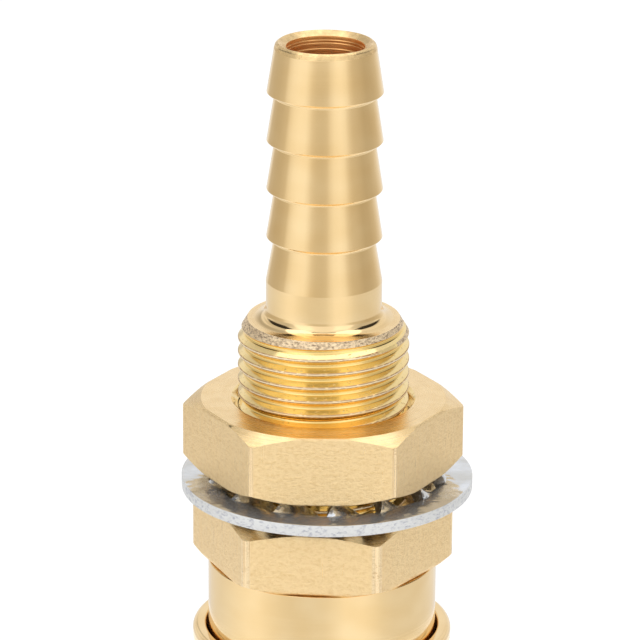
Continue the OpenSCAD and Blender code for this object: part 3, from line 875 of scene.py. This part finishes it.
class COUPLING_OT_panel_nut(bpy.types.Operator):
    """Panel nut with its own thread"""

    bl_idname = "coupling.panel_nut"
    bl_label = "Panel Nut"

    def execute(self, context):
        s = context.scene.coupling_socket
        tail = context.scene.coupling_tail
        bottom, top = span(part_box("panel_nut"))
        flats = mm(s.nut_flats)
        corner_r = flats / math.sqrt(3) - 0.08
        ends = (corner_r, 28, flats / 2, 0.05, flats / 2)
        nut = hexagon_bar("nut", flats, bottom, top, 0.0, 0.18, ends)
        thread_r = half_mm(tail.thread_diameter)
        gap = mm(s.nut_clearance)
        bore_r = thread_r - mm(tail.thread_depth) + 0.12  # clear of the shank's roots
        rim_r = thread_r + gap + mm(s.nut_countersink)
        sink = rim_r - bore_r
        drill = [
            (0, bottom - OVER),
            (rim_r + OVER, bottom - OVER),
            (bore_r, bottom + sink),
            (bore_r, top - sink),
            (rim_r + OVER, top + OVER),
            (0, top + OVER),
        ]
        combine(nut, turned("nut_drill", drill, closed=False), "DIFFERENCE")
        pitch = mm(tail.thread_pitch)
        depth, crest = mm(tail.thread_depth), mm(tail.thread_crest)
        tap = helical_ridge(
            "nut_tap",
            thread_section(thread_r + gap, depth, crest, pitch, extra=gap * 0.6),
            pitch,
            math.floor(bottom) - 1 + mm(tail.thread_start),
            math.ceil((top - bottom) / pitch) + 3,
        )
        combine(nut, tap, "DIFFERENCE")
        finish(nut, "panel_nut", "brass", "panel_nut")
        paint(
            nut,
            (drawn_brass(), None),
            (worn_brass(), lambda r, z, n: r > 9.0 and on_corner(n, 0.0)),
            (thread_brass(), lambda r, z, n: r < rim_r - 0.02),
            (faced_brass(), lambda r, z, n: abs(n.z) > 0.75),
        )
        return {"FINISHED"}


class COUPLING_OT_lock_washer(bpy.types.Operator):
    """Lock washer with twisted internal teeth, stamped from one sheet"""

    bl_idname = "coupling.lock_washer"
    bl_label = "Lock Washer"

    def execute(self, context):
        s = context.scene.coupling_socket
        low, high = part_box("lock_washer")
        middle = (low + high) / 2 / MM
        outer = half_mm(s.washer_diameter) - 0.003
        root = half_mm(s.tooth_root)
        tip = half_mm(s.tooth_tip)
        bend = mm(s.tooth_bend)
        half_gap = half_mm(s.tooth_gap)
        sector = math.pi / s.tooth_count
        stations = [outer, outer - 0.1, outer - 0.6, root + 0.5, root]
        stations += [root - half_gap * (1 - math.cos(a * math.pi / 12)) for a in range(1, 7)]
        start = stations[-1]
        bent = root - bend
        stations += [start - (start - bent) * i / 3 for i in range(1, 4)]
        stations += [bent - (bent - tip) * i / 7 for i in range(1, 8)]
        deselect_all()
        bpy.ops.mesh.primitive_grid_add(
            x_subdivisions=len(stations) - 1, y_subdivisions=12, size=2.0
        )
        leaf = bpy.context.object
        leaf.name = leaf.data.name = "washer"
        rows = sorted({round(v.co.x, 5) for v in leaf.data.vertices}, reverse=True)
        for vertex in leaf.data.vertices:
            r = stations[rows.index(round(vertex.co.x, 5))]
            share = vertex.co.y
            into = min(max((root - r) / half_gap, 0.0), 1.0)
            gap = half_gap * math.sqrt(max(0.0, 1 - (1 - into) ** 2)) if r < root else 0.0
            half = sector - gap / r
            t = min(max((root - r) / bend, 0.0), 1.0)
            twist = s.tooth_twist * t * t * (3 - 2 * t)
            y = r * math.sin(half * share)
            x = r * math.cos(half * share)
            vertex.co = (x, y * math.cos(twist), -y * math.sin(twist))
        leaves = [leaf]
        for i in range(1, s.tooth_count):
            leaves.append(turn_about_z(copy_of(leaf, "washer_leaf"), 2 * sector * i))
        deselect_all()
        for other in leaves:
            other.select_set(True)
        bpy.context.view_layer.objects.active = leaf
        bpy.ops.object.join()
        bpy.ops.object.mode_set(mode="EDIT")
        close_and_turn_out()
        thickness = mm(s.washer_thickness)
        apply_modifier(leaf, "SOLIDIFY", thickness=thickness, offset=0.0, use_even_offset=False)
        soften(leaf, 0.06)
        turn_about_z(leaf, s.washer_turn)
        leaf.location = middle
        settle(leaf)
        finish(leaf, "lock_washer", "zinc_plate", "lock_washer", smooth=40.0)
        paint(
            leaf,
            (zinc_plate(), None),
            (torn_zinc(), lambda r, z, n: r > outer - 0.2 and 0.35 < abs(n.z) < 0.8),
            (sheared_zinc(), lambda r, z, n: r > outer - 0.35 and abs(n.z) < 0.9),
            # the teeth's sides under the nut: dark zinc, partly painted shade
            (torn_zinc(), lambda r, z, n: r < outer - 0.35 and abs(n.z) < 0.6),
            # teeth under the nut: darker zinc as painted shade
            (tooth_zinc(), lambda r, z, n: r < root - 0.3),
        )
        return {"FINISHED"}


class COUPLING_OT_socket_body(bpy.types.Operator):
    """Socket body: polished barrel and the front tube with the ball holes"""

    bl_idname = "coupling.socket_body"
    bl_label = "Socket Body"

    def execute(self, context):
        s = context.scene.coupling_socket
        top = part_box("socket_body")[1].z / MM
        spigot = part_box("hose_tail")[0].z / MM - 0.04
        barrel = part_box("sleeve_spring")[1].z / MM + SEAT_GAP
        ball_z = mid_height(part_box("lock_ball_1"))
        ball_r = half_mm(s.ball_diameter)
        seal_z = mid_height(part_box("plug_seal"))
        ring_low, ring_high = span(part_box("retaining_ring"))
        tube_r = half_mm(s.tube_diameter)
        barrel_r = half_mm(s.barrel_diameter)
        plug_r = half_mm(s.plug_diameter)
        seat_r = half_mm(s.seat_diameter)
        chamber_r = half_mm(s.chamber_diameter)
        seal_half = 0.7  # half the height of the seal's groove
        seal_r = plug_r + 1.0
        stop = seal_z + seal_half + 1.15
        seat = stop + 0.7
        web = seat + 1.2
        relief_r = plug_r + 0.2
        relief = ball_z + ball_r + 0.5
        relief_foot = 5.6
        groove_r = tube_r - 0.32
        joint_r = 6.54
        seal_room_r = 7.16
        joint = top - 1.1
        body = turned(
            "front_body",
            [
                (plug_r + 0.6, 0.0, 0.04),
                (tube_r - 0.4, 0.0, 0.04),
                (tube_r, 0.4, 0.06),
                (tube_r, ring_low - SEAT_GAP, 0.03),
                (groove_r, ring_low - SEAT_GAP),
                (groove_r, ring_high + SEAT_GAP),
                (tube_r, ring_high + SEAT_GAP, 0.03),
                (tube_r, barrel),
                (barrel_r - 0.2, barrel, 0.05),
                (barrel_r, barrel + 0.2, 0.08),
                (barrel_r, top - 0.04, 0.02),
                (barrel_r - 0.04, top, 0.02),
                (seal_room_r, top),
                (seal_room_r, joint),
                (joint_r, joint),
                (joint_r, spigot),
                (chamber_r, spigot),
                (chamber_r, web),
                (seat_r + 1.2, web, 0.05),
                (seat_r, seat, 0.05),
                (seat_r, stop, 0.08),
                (plug_r, stop),
                (plug_r, seal_z + seal_half, 0.03),
                (seal_r, seal_z + seal_half),
                (seal_r, seal_z - seal_half),
                (plug_r, seal_z - seal_half, 0.03),
                (plug_r, relief + 0.2),
                (relief_r, relief),
                (relief_r, relief_foot + 0.2),
                (plug_r, relief_foot),
                (plug_r, 0.6, 0.05),
            ],
        )
        drill_r = ball_r + 0.02
        length = 3.0
        tip = [(0, -drill_r), *ball_arc(drill_r, 20, 10), (drill_r, length), (0, length)]
        drill = turned("ball_drill", tip, closed=False, steps=40)
        drill.rotation_euler = (0, math.pi / 2, 0)
        drill.location = (plug_r - 0.5 + ball_r, 0, ball_z)
        settle(drill)
        for i in range(BALLS):
            hole = turn_about_z(copy_of(drill, "ball_hole"), TURN * (i + 0.5) / BALLS)
            combine(body, hole, "DIFFERENCE")
        bpy.data.objects.remove(drill, do_unlink=True)
        finish(body, "coupling_body", "brass", "socket_body")
        paint(
            body,
            (polished_brass(), None),
            (bore_brass(), lambda r, z, n: r < plug_r + 1.1 and z > 5.5),
            (faced_brass(), lambda r, z, n: abs(n.z) > 0.9),
        )
        return {"FINISHED"}


class COUPLING_OT_release_sleeve(bpy.types.Operator):
    """Release sleeve with its bead and grip grooves"""

    bl_idname = "coupling.release_sleeve"
    bl_label = "Release Sleeve"

    def execute(self, context):
        s = context.scene.coupling_socket
        bottom, top = span(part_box("release_sleeve"))
        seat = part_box("sleeve_spring")[0].z / MM - SEAT_GAP
        ball_z = mid_height(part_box("lock_ball_1"))
        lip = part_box("retaining_ring")[1].z / MM + SEAT_GAP
        bore_r = half_mm(s.barrel_diameter) + 0.17
        outer = half_mm(s.sleeve_diameter)
        rim = half_mm(s.rim_diameter)
        round_r = (rim - bore_r) * 0.45
        bead = top - 0.95
        mouth_r = 7.55
        lip_r = 6.87
        recess_r = 7.47
        land_r = 6.92
        lip_top = lip + 0.9
        travel = 3.2  # the recess takes the balls when the sleeve is back
        outline = [(mouth_r, bottom, 0.05), (outer, bottom, 0.4)]
        hollow = mm(s.grip_hollow)
        depth = mm(s.grip_depth)
        middle = (bottom + bead) / 2
        half = math.acos((hollow - depth) / hollow)
        for i in range(s.grip_count):
            z = middle + (i - (s.grip_count - 1) / 2) * mm(s.grip_pitch)
            centre_r = outer + hollow - depth
            outline.append((outer, z - hollow * math.sin(half) - 0.04))
            for k in range(9):
                a = -half + 2 * half * k / 8
                outline.append((centre_r - hollow * math.cos(a), z + hollow * math.sin(a)))
            outline.append((outer, z + hollow * math.sin(half) + 0.04))
        outline += [
            (outer, bead - 0.1, 0.1),
            (rim, bead, 0.08),
            (rim, top, round_r),
            (bore_r, top, 0.17),
            (bore_r, seat, 0.1),
            (land_r, seat, 0.05),
            (land_r, ball_z),
            (recess_r, ball_z - travel),
            (recess_r, lip_top),
            (lip_r, lip_top, 0.05),
            (lip_r, lip, 0.05),
            (mouth_r, lip),
        ]
        sleeve = turned("sleeve", outline)
        finish(sleeve, "release_sleeve", "brass", "release_sleeve")
        paint(
            sleeve,
            (polished_brass(), None),
            (bore_brass(), lambda r, z, n: r < bore_r + 0.02),
            (faced_brass(), lambda r, z, n: n.z < -0.9),
        )
        return {"FINISHED"}


class COUPLING_OT_valve(bpy.types.Operator):
    """Valve: the poppet, and a material for the spoked guide"""

    bl_idname = "coupling.valve"
    bl_label = "Valve"

    def execute(self, context):
        front, end = span(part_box("valve_poppet"))
        seal_z = mid_height(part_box("poppet_seal"))
        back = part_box("valve_spring")[0].z / MM - SEAT_GAP
        nose_r, land_r, groove_r = 2.3, 3.4, 3.18
        head_r, boss_r, stem_r = 4.4, 1.625, 0.9
        land = front + 1.75
        groove = seal_z - 0.52
        head = seal_z + 0.52
        boss = back + 0.8
        outline = [
            (0, front),
            (nose_r, front, 0.25),
            (nose_r, land, 0.15),
            (land_r, land, 0.08),
            (land_r, groove, 0.04),
            (groove_r, groove),
            (groove_r, head),
            (head_r, head, 0.2),
            (head_r, back, 0.08),
            (boss_r, back),
            (boss_r, boss, 0.15),
            (stem_r, boss, 0.1),
            (stem_r, end, 0.2),
            (0, end),
        ]
        poppet = turned("poppet", outline, closed=False)
        finish(poppet, "valve", "valve_brass", "valve_poppet")
        paint(
            poppet,
            (polished_brass(), None),
            (faced_brass(), lambda r, z, n: abs(n.z) > 0.9),
        )
        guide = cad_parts["valve_guide"]
        guide.data.materials.clear()
        guide.data.materials.append(faced_brass())
        return {"FINISHED"}


class COUPLING_OT_seals(bpy.types.Operator):
    """The three O-rings"""

    bl_idname = "coupling.seals"
    bl_label = "Seals"

    def execute(self, context):
        for node, body in (
            ("plug_seal", "coupling_body"),
            ("body_seal", "coupling_body"),
            ("poppet_seal", "valve"),
        ):
            low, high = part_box(node)
            cord = (high.z - low.z) / MM / 2
            section = circle(high.x / MM - cord, mid_height((low, high)), cord, 20)
            ring = turned(node + "_ring", section, steps=96)
            finish(ring, body, "rubber", node)
            paint(ring, (seal_rubber(), None))
        return {"FINISHED"}


def wire_spring(name, mean_r, wire, low, high, turns):
    """A round-wire spring with closed end turns, swept along its centre line."""
    per_turn = 40
    closed = wire * 1.06  # climb of a closed end turn
    rise = (high - low - wire - 2 * closed) / (turns - 2)
    points = []
    for i in range(turns * per_turn + 1):
        t = i / per_turn
        z = t * closed if t < 1 else closed + (t - 1) * rise
        if t > turns - 1:
            z = high - low - wire - (turns - t) * closed
        around = (mean_r * math.cos(TURN * t), mean_r * math.sin(TURN * t))
        points.append((*around, low + wire / 2 + z, 1.0))
    deselect_all()
    bpy.ops.curve.primitive_nurbs_path_add(location=(0, 0, 0))
    coil = bpy.context.object
    coil.name = coil.data.name = name
    coil.data.splines.clear()
    line = coil.data.splines.new("POLY")
    line.points.add(len(points) - 1)
    for point, place in zip(line.points, points):
        point.co = place
    coil.data.bevel_depth = wire / 2
    coil.data.bevel_resolution = 4
    coil.data.use_fill_caps = True
    bpy.ops.object.convert(target="MESH")
    coil = bpy.context.object
    bpy.ops.object.mode_set(mode="EDIT")
    close_and_turn_out()
    return coil


class COUPLING_OT_springs(bpy.types.Operator):
    """Sleeve spring and valve spring"""

    bl_idname = "coupling.springs"
    bl_label = "Springs"

    def execute(self, context):
        s = context.scene.coupling_socket
        sleeve = ("sleeve_spring", "sleeve_slide", mm(s.sleeve_wire), s.sleeve_turns)
        valve = ("coupling_body", "valve_slide", mm(s.valve_wire), s.valve_turns)
        for name, node, (body, joint, wire, turns) in (
            ("sleeve_coil", "sleeve_spring", sleeve),
            ("valve_coil", "valve_spring", valve),
        ):
            low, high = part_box(node)
            mean_r = high.x / MM - wire / 2
            coil = wire_spring(name, mean_r, wire, *span((low, high)), turns)
            finish(coil, body, "spring_steel", node, smooth=40.0)
            paint(coil, (spring_steel(), None))
            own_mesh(coil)
        return {"FINISHED"}


class COUPLING_OT_small_steel(bpy.types.Operator):
    """Locking balls and the retaining ring"""

    bl_idname = "coupling.small_steel"
    bl_label = "Balls and Ring"

    def execute(self, context):
        s = context.scene.coupling_socket
        ball_r = half_mm(s.ball_diameter)
        outline = [(0, -ball_r), *ball_arc(ball_r, 24, 23), (0, ball_r)]
        first = turned("ball", outline, closed=False, steps=48)
        for i in range(1, BALLS + 1):
            node = f"lock_ball_{i}"
            low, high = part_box(node)
            ball = copy_of(first, f"ball_{i}")
            ball.location = (low + high) / 2 / MM
            settle(ball)
            finish(ball, node, "ball_steel", node)
            paint(ball, (ball_steel(), None))
        bpy.data.objects.remove(first, do_unlink=True)
        low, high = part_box("retaining_ring")
        wire = (high.z - low.z) / MM / 2
        middle_r = -low.x / MM - wire
        opening = 2 * math.asin(0.9 / middle_r)
        ring = draw_outline("snap_ring", circle(middle_r, mid_height((low, high)), wire, 16))
        bpy.ops.mesh.spin(steps=96, angle=TURN - opening, center=(0, 0, 0), axis=(0, 0, 1))
        cap_ends()
        turn_about_z(ring, -opening / 2)
        finish(ring, "coupling_body", "spring_steel", "retaining_ring")
        paint(ring, (spring_steel(), None))
        return {"FINISHED"}


# ---------------------------------------------------------------- stage


# Light round the object: azimuth in degrees from the camera, then strength.
LOW_LIGHT = (
    (-180, 0.88), (-144, 0.84), (-115, 0.84), (-100, 0.9), (-87, 0.98), (-74, 1.05), (-62, 1.06),
    (-50, 0.98), (-39, 0.9), (-28, 0.85), (-10, 0.84), (2, 0.87), (12, 0.96), (22, 1.06), (38, 1.06),
    (50, 0.98), (60, 0.88), (72, 0.82), (93, 0.8), (120, 0.82), (135, 0.86), (180, 0.88),
)
MIDDLE_LIGHT = (
    (-180, 0.95), (-155, 0.9), (-140, 0.62), (-120, 0.58), (-103, 0.6), (-86, 0.68), (-78, 0.88),
    (-68, 1.0), (-55, 1.06), (-40, 1.05), (-32, 0.92), (-26, 0.79), (-17, 0.71), (-5, 0.69),
    (4, 0.73), (11, 0.88), (19, 1.0), (32, 1.05), (42, 0.98), (50, 0.8), (58, 0.69), (72, 0.63),
    (88, 0.55), (106, 0.57), (125, 0.66), (140, 0.8), (155, 0.9), (180, 0.95),
)
THREAD_LIGHT = (
    (-180, 0.95), (-125, 0.95), (-108, 0.7), (-70, 0.62), (-60, 0.7), (-54, 1.25), (-27, 1.3),
    (-21, 0.5), (-6, 0.42), (8, 0.42), (19, 0.5), (25, 1.3), (53, 1.25), (60, 0.7),
    (75, 0.62), (106, 0.7), (122, 0.95), (180, 0.95),
)
FRONT_LIGHT = (
    (-180, 0.95), (-125, 0.95), (-108, 0.65), (-75, 0.6), (-63, 0.75), (-56, 1.2), (-28, 1.3),
    (-18, 1.05), (0, 1.0), (18, 1.05), (26, 1.3), (54, 1.2), (62, 0.75), (75, 0.6),
    (106, 0.65), (122, 0.95), (180, 0.95),
)
FLAG_LIGHT = (
    (-180, 0.95), (-160, 0.95), (-136, 0.9), (-126, 0.04), (-88, 0.03), (-80, 0.7), (-55, 1.1),
    (-25, 1.1), (-10, 0.9), (10, 0.9), (25, 1.1), (55, 1.1), (79, 0.7), (87, 0.03),
    (125, 0.04), (135, 0.9), (160, 0.95), (180, 0.95),
)
SIDE_LIGHT = (
    (-180, 0.95), (-148, 0.9), (-142, 0.7), (-110, 0.62), (-80, 0.9), (80, 0.9), (110, 0.8),
    (146, 0.9), (180, 0.95),
)
BACK_LIGHT = (
    (-180, 0.95), (-168, 0.9), (-158, 0.5), (-136, 0.5), (-100, 0.9), (100, 0.9), (146, 0.8),
    (180, 0.95),
)
CEILING_LIGHT = ((-180, 1.6), (180, 1.6))
BOOM_LIGHT = ((-180, 0.4), (180, 0.4))
SCREEN_STRENGTH = 1.06
FLOOR_LIFT = 0.2  # light that the floor adds where it is seen directly
WORLD_LEVEL = 0.86  # strength of the world where it isn't seen directly

# Rings of light on each screen: the ring, its warmth, how much its edge sinks towards
# the back (metres for a radian), and the heights where it fades in.
NEAR_LIGHT = (
    (LOW_LIGHT, 0.0, 0.0, 0.0, 0.0),
    (THREAD_LIGHT, 1.0, 0.0, 0.0175, 0.0195),
    (LOW_LIGHT, 0.0, 0.0, 0.0235, 0.025),
    (MIDDLE_LIGHT, 2.6, 0.0, 0.025, 0.05),
)
FAR_LIGHT = (
    (MIDDLE_LIGHT, 2.6, 0.0, 0.0, 0.0),
    (FRONT_LIGHT, 1.0, 0.0, 0.064, 0.08),
    (FLAG_LIGHT, 1.0, 0.09, 0.279, 0.29),
    (SIDE_LIGHT, 1.0, 0.32, 0.87, 0.89),
    (BACK_LIGHT, 1.0, 0.57, 1.61, 1.65),
)


def glowing_screen(name, rings):
    """Soft light that changes round the object; its darker parts are a little warmer."""
    material = bpy.data.materials.new(name)
    material.use_nodes = True
    tree = material.node_tree
    tree.nodes.clear()

    def math_node(operation, **inputs):
        return add_node(tree, "ShaderNodeMath", operation=operation, **inputs).outputs[0]

    place = add_node(tree, "ShaderNodeTexCoord").outputs["Object"]
    split = add_node(tree, "ShaderNodeSeparateXYZ", _0=place).outputs
    away = math_node("MULTIPLY", _0=split["Y"], _1=-1.0)
    turn = math_node("ARCTAN2", _0=split["X"], _1=away)
    share = add_node(tree, "ShaderNodeMapRange", _0=turn, From_Min=-math.pi, From_Max=math.pi)
    aside = math_node("ABSOLUTE", _0=turn)
    result = None
    for lights, warmth, sink, start, end in rings:
        ring = add_node(tree, "ShaderNodeValToRGB", _0=share.outputs[0])
        stops = ring.color_ramp.elements
        stops.remove(stops[1])
        for i, (azimuth, strength) in enumerate(lights):
            stop = stops[0] if i == 0 else stops.new((azimuth + 180) / 360)
            stop.position = (azimuth + 180) / 360
            warm = warmth * max(0.0, SCREEN_STRENGTH - strength)
            red = strength / SCREEN_STRENGTH
            stop.color = (red, red * (1 - 0.06 * warm), red * (1 - 0.16 * warm), 1.0)
        if result is None:
            result = ring.outputs[0]
            continue
        slant = math_node("MULTIPLY_ADD", _0=aside, _1=sink, _2=split["Z"])
        height = add_node(
            tree, "ShaderNodeMapRange", interpolation_type="SMOOTHSTEP", _0=slant,
            From_Min=start, From_Max=end,
        ).outputs[0]
        result = add_node(
            tree, "ShaderNodeMix", data_type="RGBA", _0=height, _6=result, _7=ring.outputs[0]
        ).outputs[2]
    glow = add_node(tree, "ShaderNodeEmission", Color=result, Strength=SCREEN_STRENGTH)
    add_node(tree, "ShaderNodeOutputMaterial", Surface=glow.outputs[0])
    return material


def hang(screen, name, rings):
    """Makes a sheet glow where only reflections can see it."""
    screen.name = name
    screen.data.materials.append(glowing_screen(name, rings))
    screen.visible_camera = False
    screen.visible_shadow = False
    screen.visible_diffuse = False


def seen_directly(tree):
    """1 for camera, glossy and transmission rays, 0 for the others."""
    path = add_node(tree, "ShaderNodeLightPath").outputs
    result = path["Is Camera Ray"]
    for name in ("Is Glossy Ray", "Is Transmission Ray"):
        either = add_node(tree, "ShaderNodeMath", operation="MAXIMUM", _0=result, _1=path[name])
        result = either.outputs[0]
    return result


def pale_floor():
    """White floor that keeps the object's shadow."""
    material = bpy.data.materials.new("pale_floor")
    material.use_nodes = True
    tree = material.node_tree
    sockets = tree.nodes["Principled BSDF"].inputs
    sockets["Base Color"].default_value = (0.9, 0.9, 0.9, 1)
    sockets["Roughness"].default_value = 0.9
    sockets["Specular IOR Level"].default_value = 0.0
    sockets["Emission Color"].default_value = (1, 1, 1, 1)
    lift = add_node(
        tree, "ShaderNodeMath", operation="MULTIPLY", _0=seen_directly(tree), _1=FLOOR_LIFT
    )
    tree.links.new(lift.outputs[0], sockets["Emission Strength"])
    return material


class COUPLING_OT_stage(bpy.types.Operator):
    """Floor, soft studio light and camera"""

    bl_idname = "coupling.stage"
    bl_label = "Stage"

    def execute(self, context):
        scene = context.scene
        scene.view_settings.view_transform = "Standard"
        deselect_all()
        bpy.ops.mesh.primitive_plane_add(size=6.0, location=(0, 0, 0))
        floor = bpy.context.object
        floor.name = "floor"
        floor.data.materials.append(pale_floor())
        for name, radius, low, high, lights in (
            ("near_screen", 0.05, 0.0005, 0.034, NEAR_LIGHT),
            ("far_screen", 0.15, 0.0005, 0.26, FAR_LIGHT),
        ):
            deselect_all()
            bpy.ops.mesh.primitive_cylinder_add(
                vertices=96,
                radius=radius,
                depth=high - low,
                end_fill_type="NOTHING",
                location=(0, 0, (low + high) / 2),
            )
            hang(settle(bpy.context.object), name, lights)
        for name, size, place, lights in (
            ("ceiling", (0.42, 0.33), (0, 0.085, 0.3), CEILING_LIGHT),
            ("boom", (0.12, 0.05), (0, -0.048, 0.298), BOOM_LIGHT),
        ):
            deselect_all()
            bpy.ops.mesh.primitive_plane_add(size=1.0, location=place)
            screen = bpy.context.object
            screen.scale = (*size, 1)
            hang(settle(screen), name, ((lights, 1.0, 0.0, 0.0, 0.0),))
        world = bpy.data.worlds.new("studio")
        scene.world = world
        world.use_nodes = True
        tree = world.node_tree
        background = tree.nodes["Background"]
        background.inputs["Color"].default_value = (1, 1, 1, 1)
        seen = seen_directly(tree)
        level = add_node(tree, "ShaderNodeMapRange", _0=seen, To_Min=WORLD_LEVEL)
        tree.links.new(level.outputs[0], background.inputs["Strength"])
        for name, place, size, power in (
            ("soft_left", (-0.35, -0.25, 0.45), 0.3, 0.5),
            ("soft_right", (0.4, -0.1, 0.4), 0.25, 0.3),
        ):
            deselect_all()
            bpy.ops.object.light_add(type="AREA", location=place)
            lamp = bpy.context.object
            lamp.name = name
            lamp.data.size = size
            lamp.data.energy = power
            aim = Vector((0, 0, 0.035)) - Vector(place)
            lamp.rotation_euler = aim.to_track_quat("-Z", "Y").to_euler()
        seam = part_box("socket_body")[1].z
        sizes = scene.coupling_tail
        target = seam + sizes.flange_height + sizes.shank_length - 0.00022
        elevation = math.radians(18.93)
        distance = 0.2833
        deselect_all()
        away, up = distance * math.cos(elevation), distance * math.sin(elevation)
        bpy.ops.object.camera_add(location=(0, -away, target + up))
        camera = bpy.context.object
        camera.name = "camera"
        look = Matrix.Rotation(math.pi / 2 - elevation, 4, "X")
        lean = Matrix.Rotation(math.radians(0.39), 4, "Z")
        camera.rotation_euler = (look @ lean).to_euler()
        camera.data.sensor_width = 36.0
        camera.data.lens = 231.2
        camera.data.shift_x = -0.0059
        camera.data.clip_start = 0.01
        scene.camera = camera
        return {"FINISHED"}


class COUPLING_PT_panel(bpy.types.Panel):
    """The coupling's steps, in order"""

    bl_idname = "COUPLING_PT_panel"
    bl_label = "Quick Coupling"
    bl_space_type = "VIEW_3D"
    bl_region_type = "UI"
    bl_category = "Coupling"

    def draw(self, context):
        column = self.layout.column(align=True)
        for operator in STEPS:
            column.operator(operator.bl_idname)
        for group in ("coupling_tail", "coupling_socket", "coupling_finishes"):
            box = self.layout.box()
            settings = getattr(context.scene, group)
            for name in settings.__annotations__:
                box.prop(settings, name)


STEPS = (
    COUPLING_OT_stage,
    COUPLING_OT_hose_tail,
    COUPLING_OT_panel_nut,
    COUPLING_OT_lock_washer,
    COUPLING_OT_socket_body,
    COUPLING_OT_release_sleeve,
    COUPLING_OT_valve,
    COUPLING_OT_seals,
    COUPLING_OT_springs,
    COUPLING_OT_small_steel,
)
CLASSES = (TailSizes, SocketSizes, Finishes, *STEPS, COUPLING_PT_panel)


def register():
    for cls in CLASSES:
        bpy.utils.register_class(cls)
    bpy.types.Scene.coupling_tail = PointerProperty(type=TailSizes)
    bpy.types.Scene.coupling_socket = PointerProperty(type=SocketSizes)
    bpy.types.Scene.coupling_finishes = PointerProperty(type=Finishes)


def unregister():
    del bpy.types.Scene.coupling_finishes
    del bpy.types.Scene.coupling_socket
    del bpy.types.Scene.coupling_tail
    for cls in reversed(CLASSES):
        bpy.utils.unregister_class(cls)


def main():
    """Builds the whole coupling, one step after another."""
    register()
    for step in STEPS:
        family, name = step.bl_idname.split(".")
        getattr(getattr(bpy.ops, family), name)()


if __name__ == "__main__":
    main()
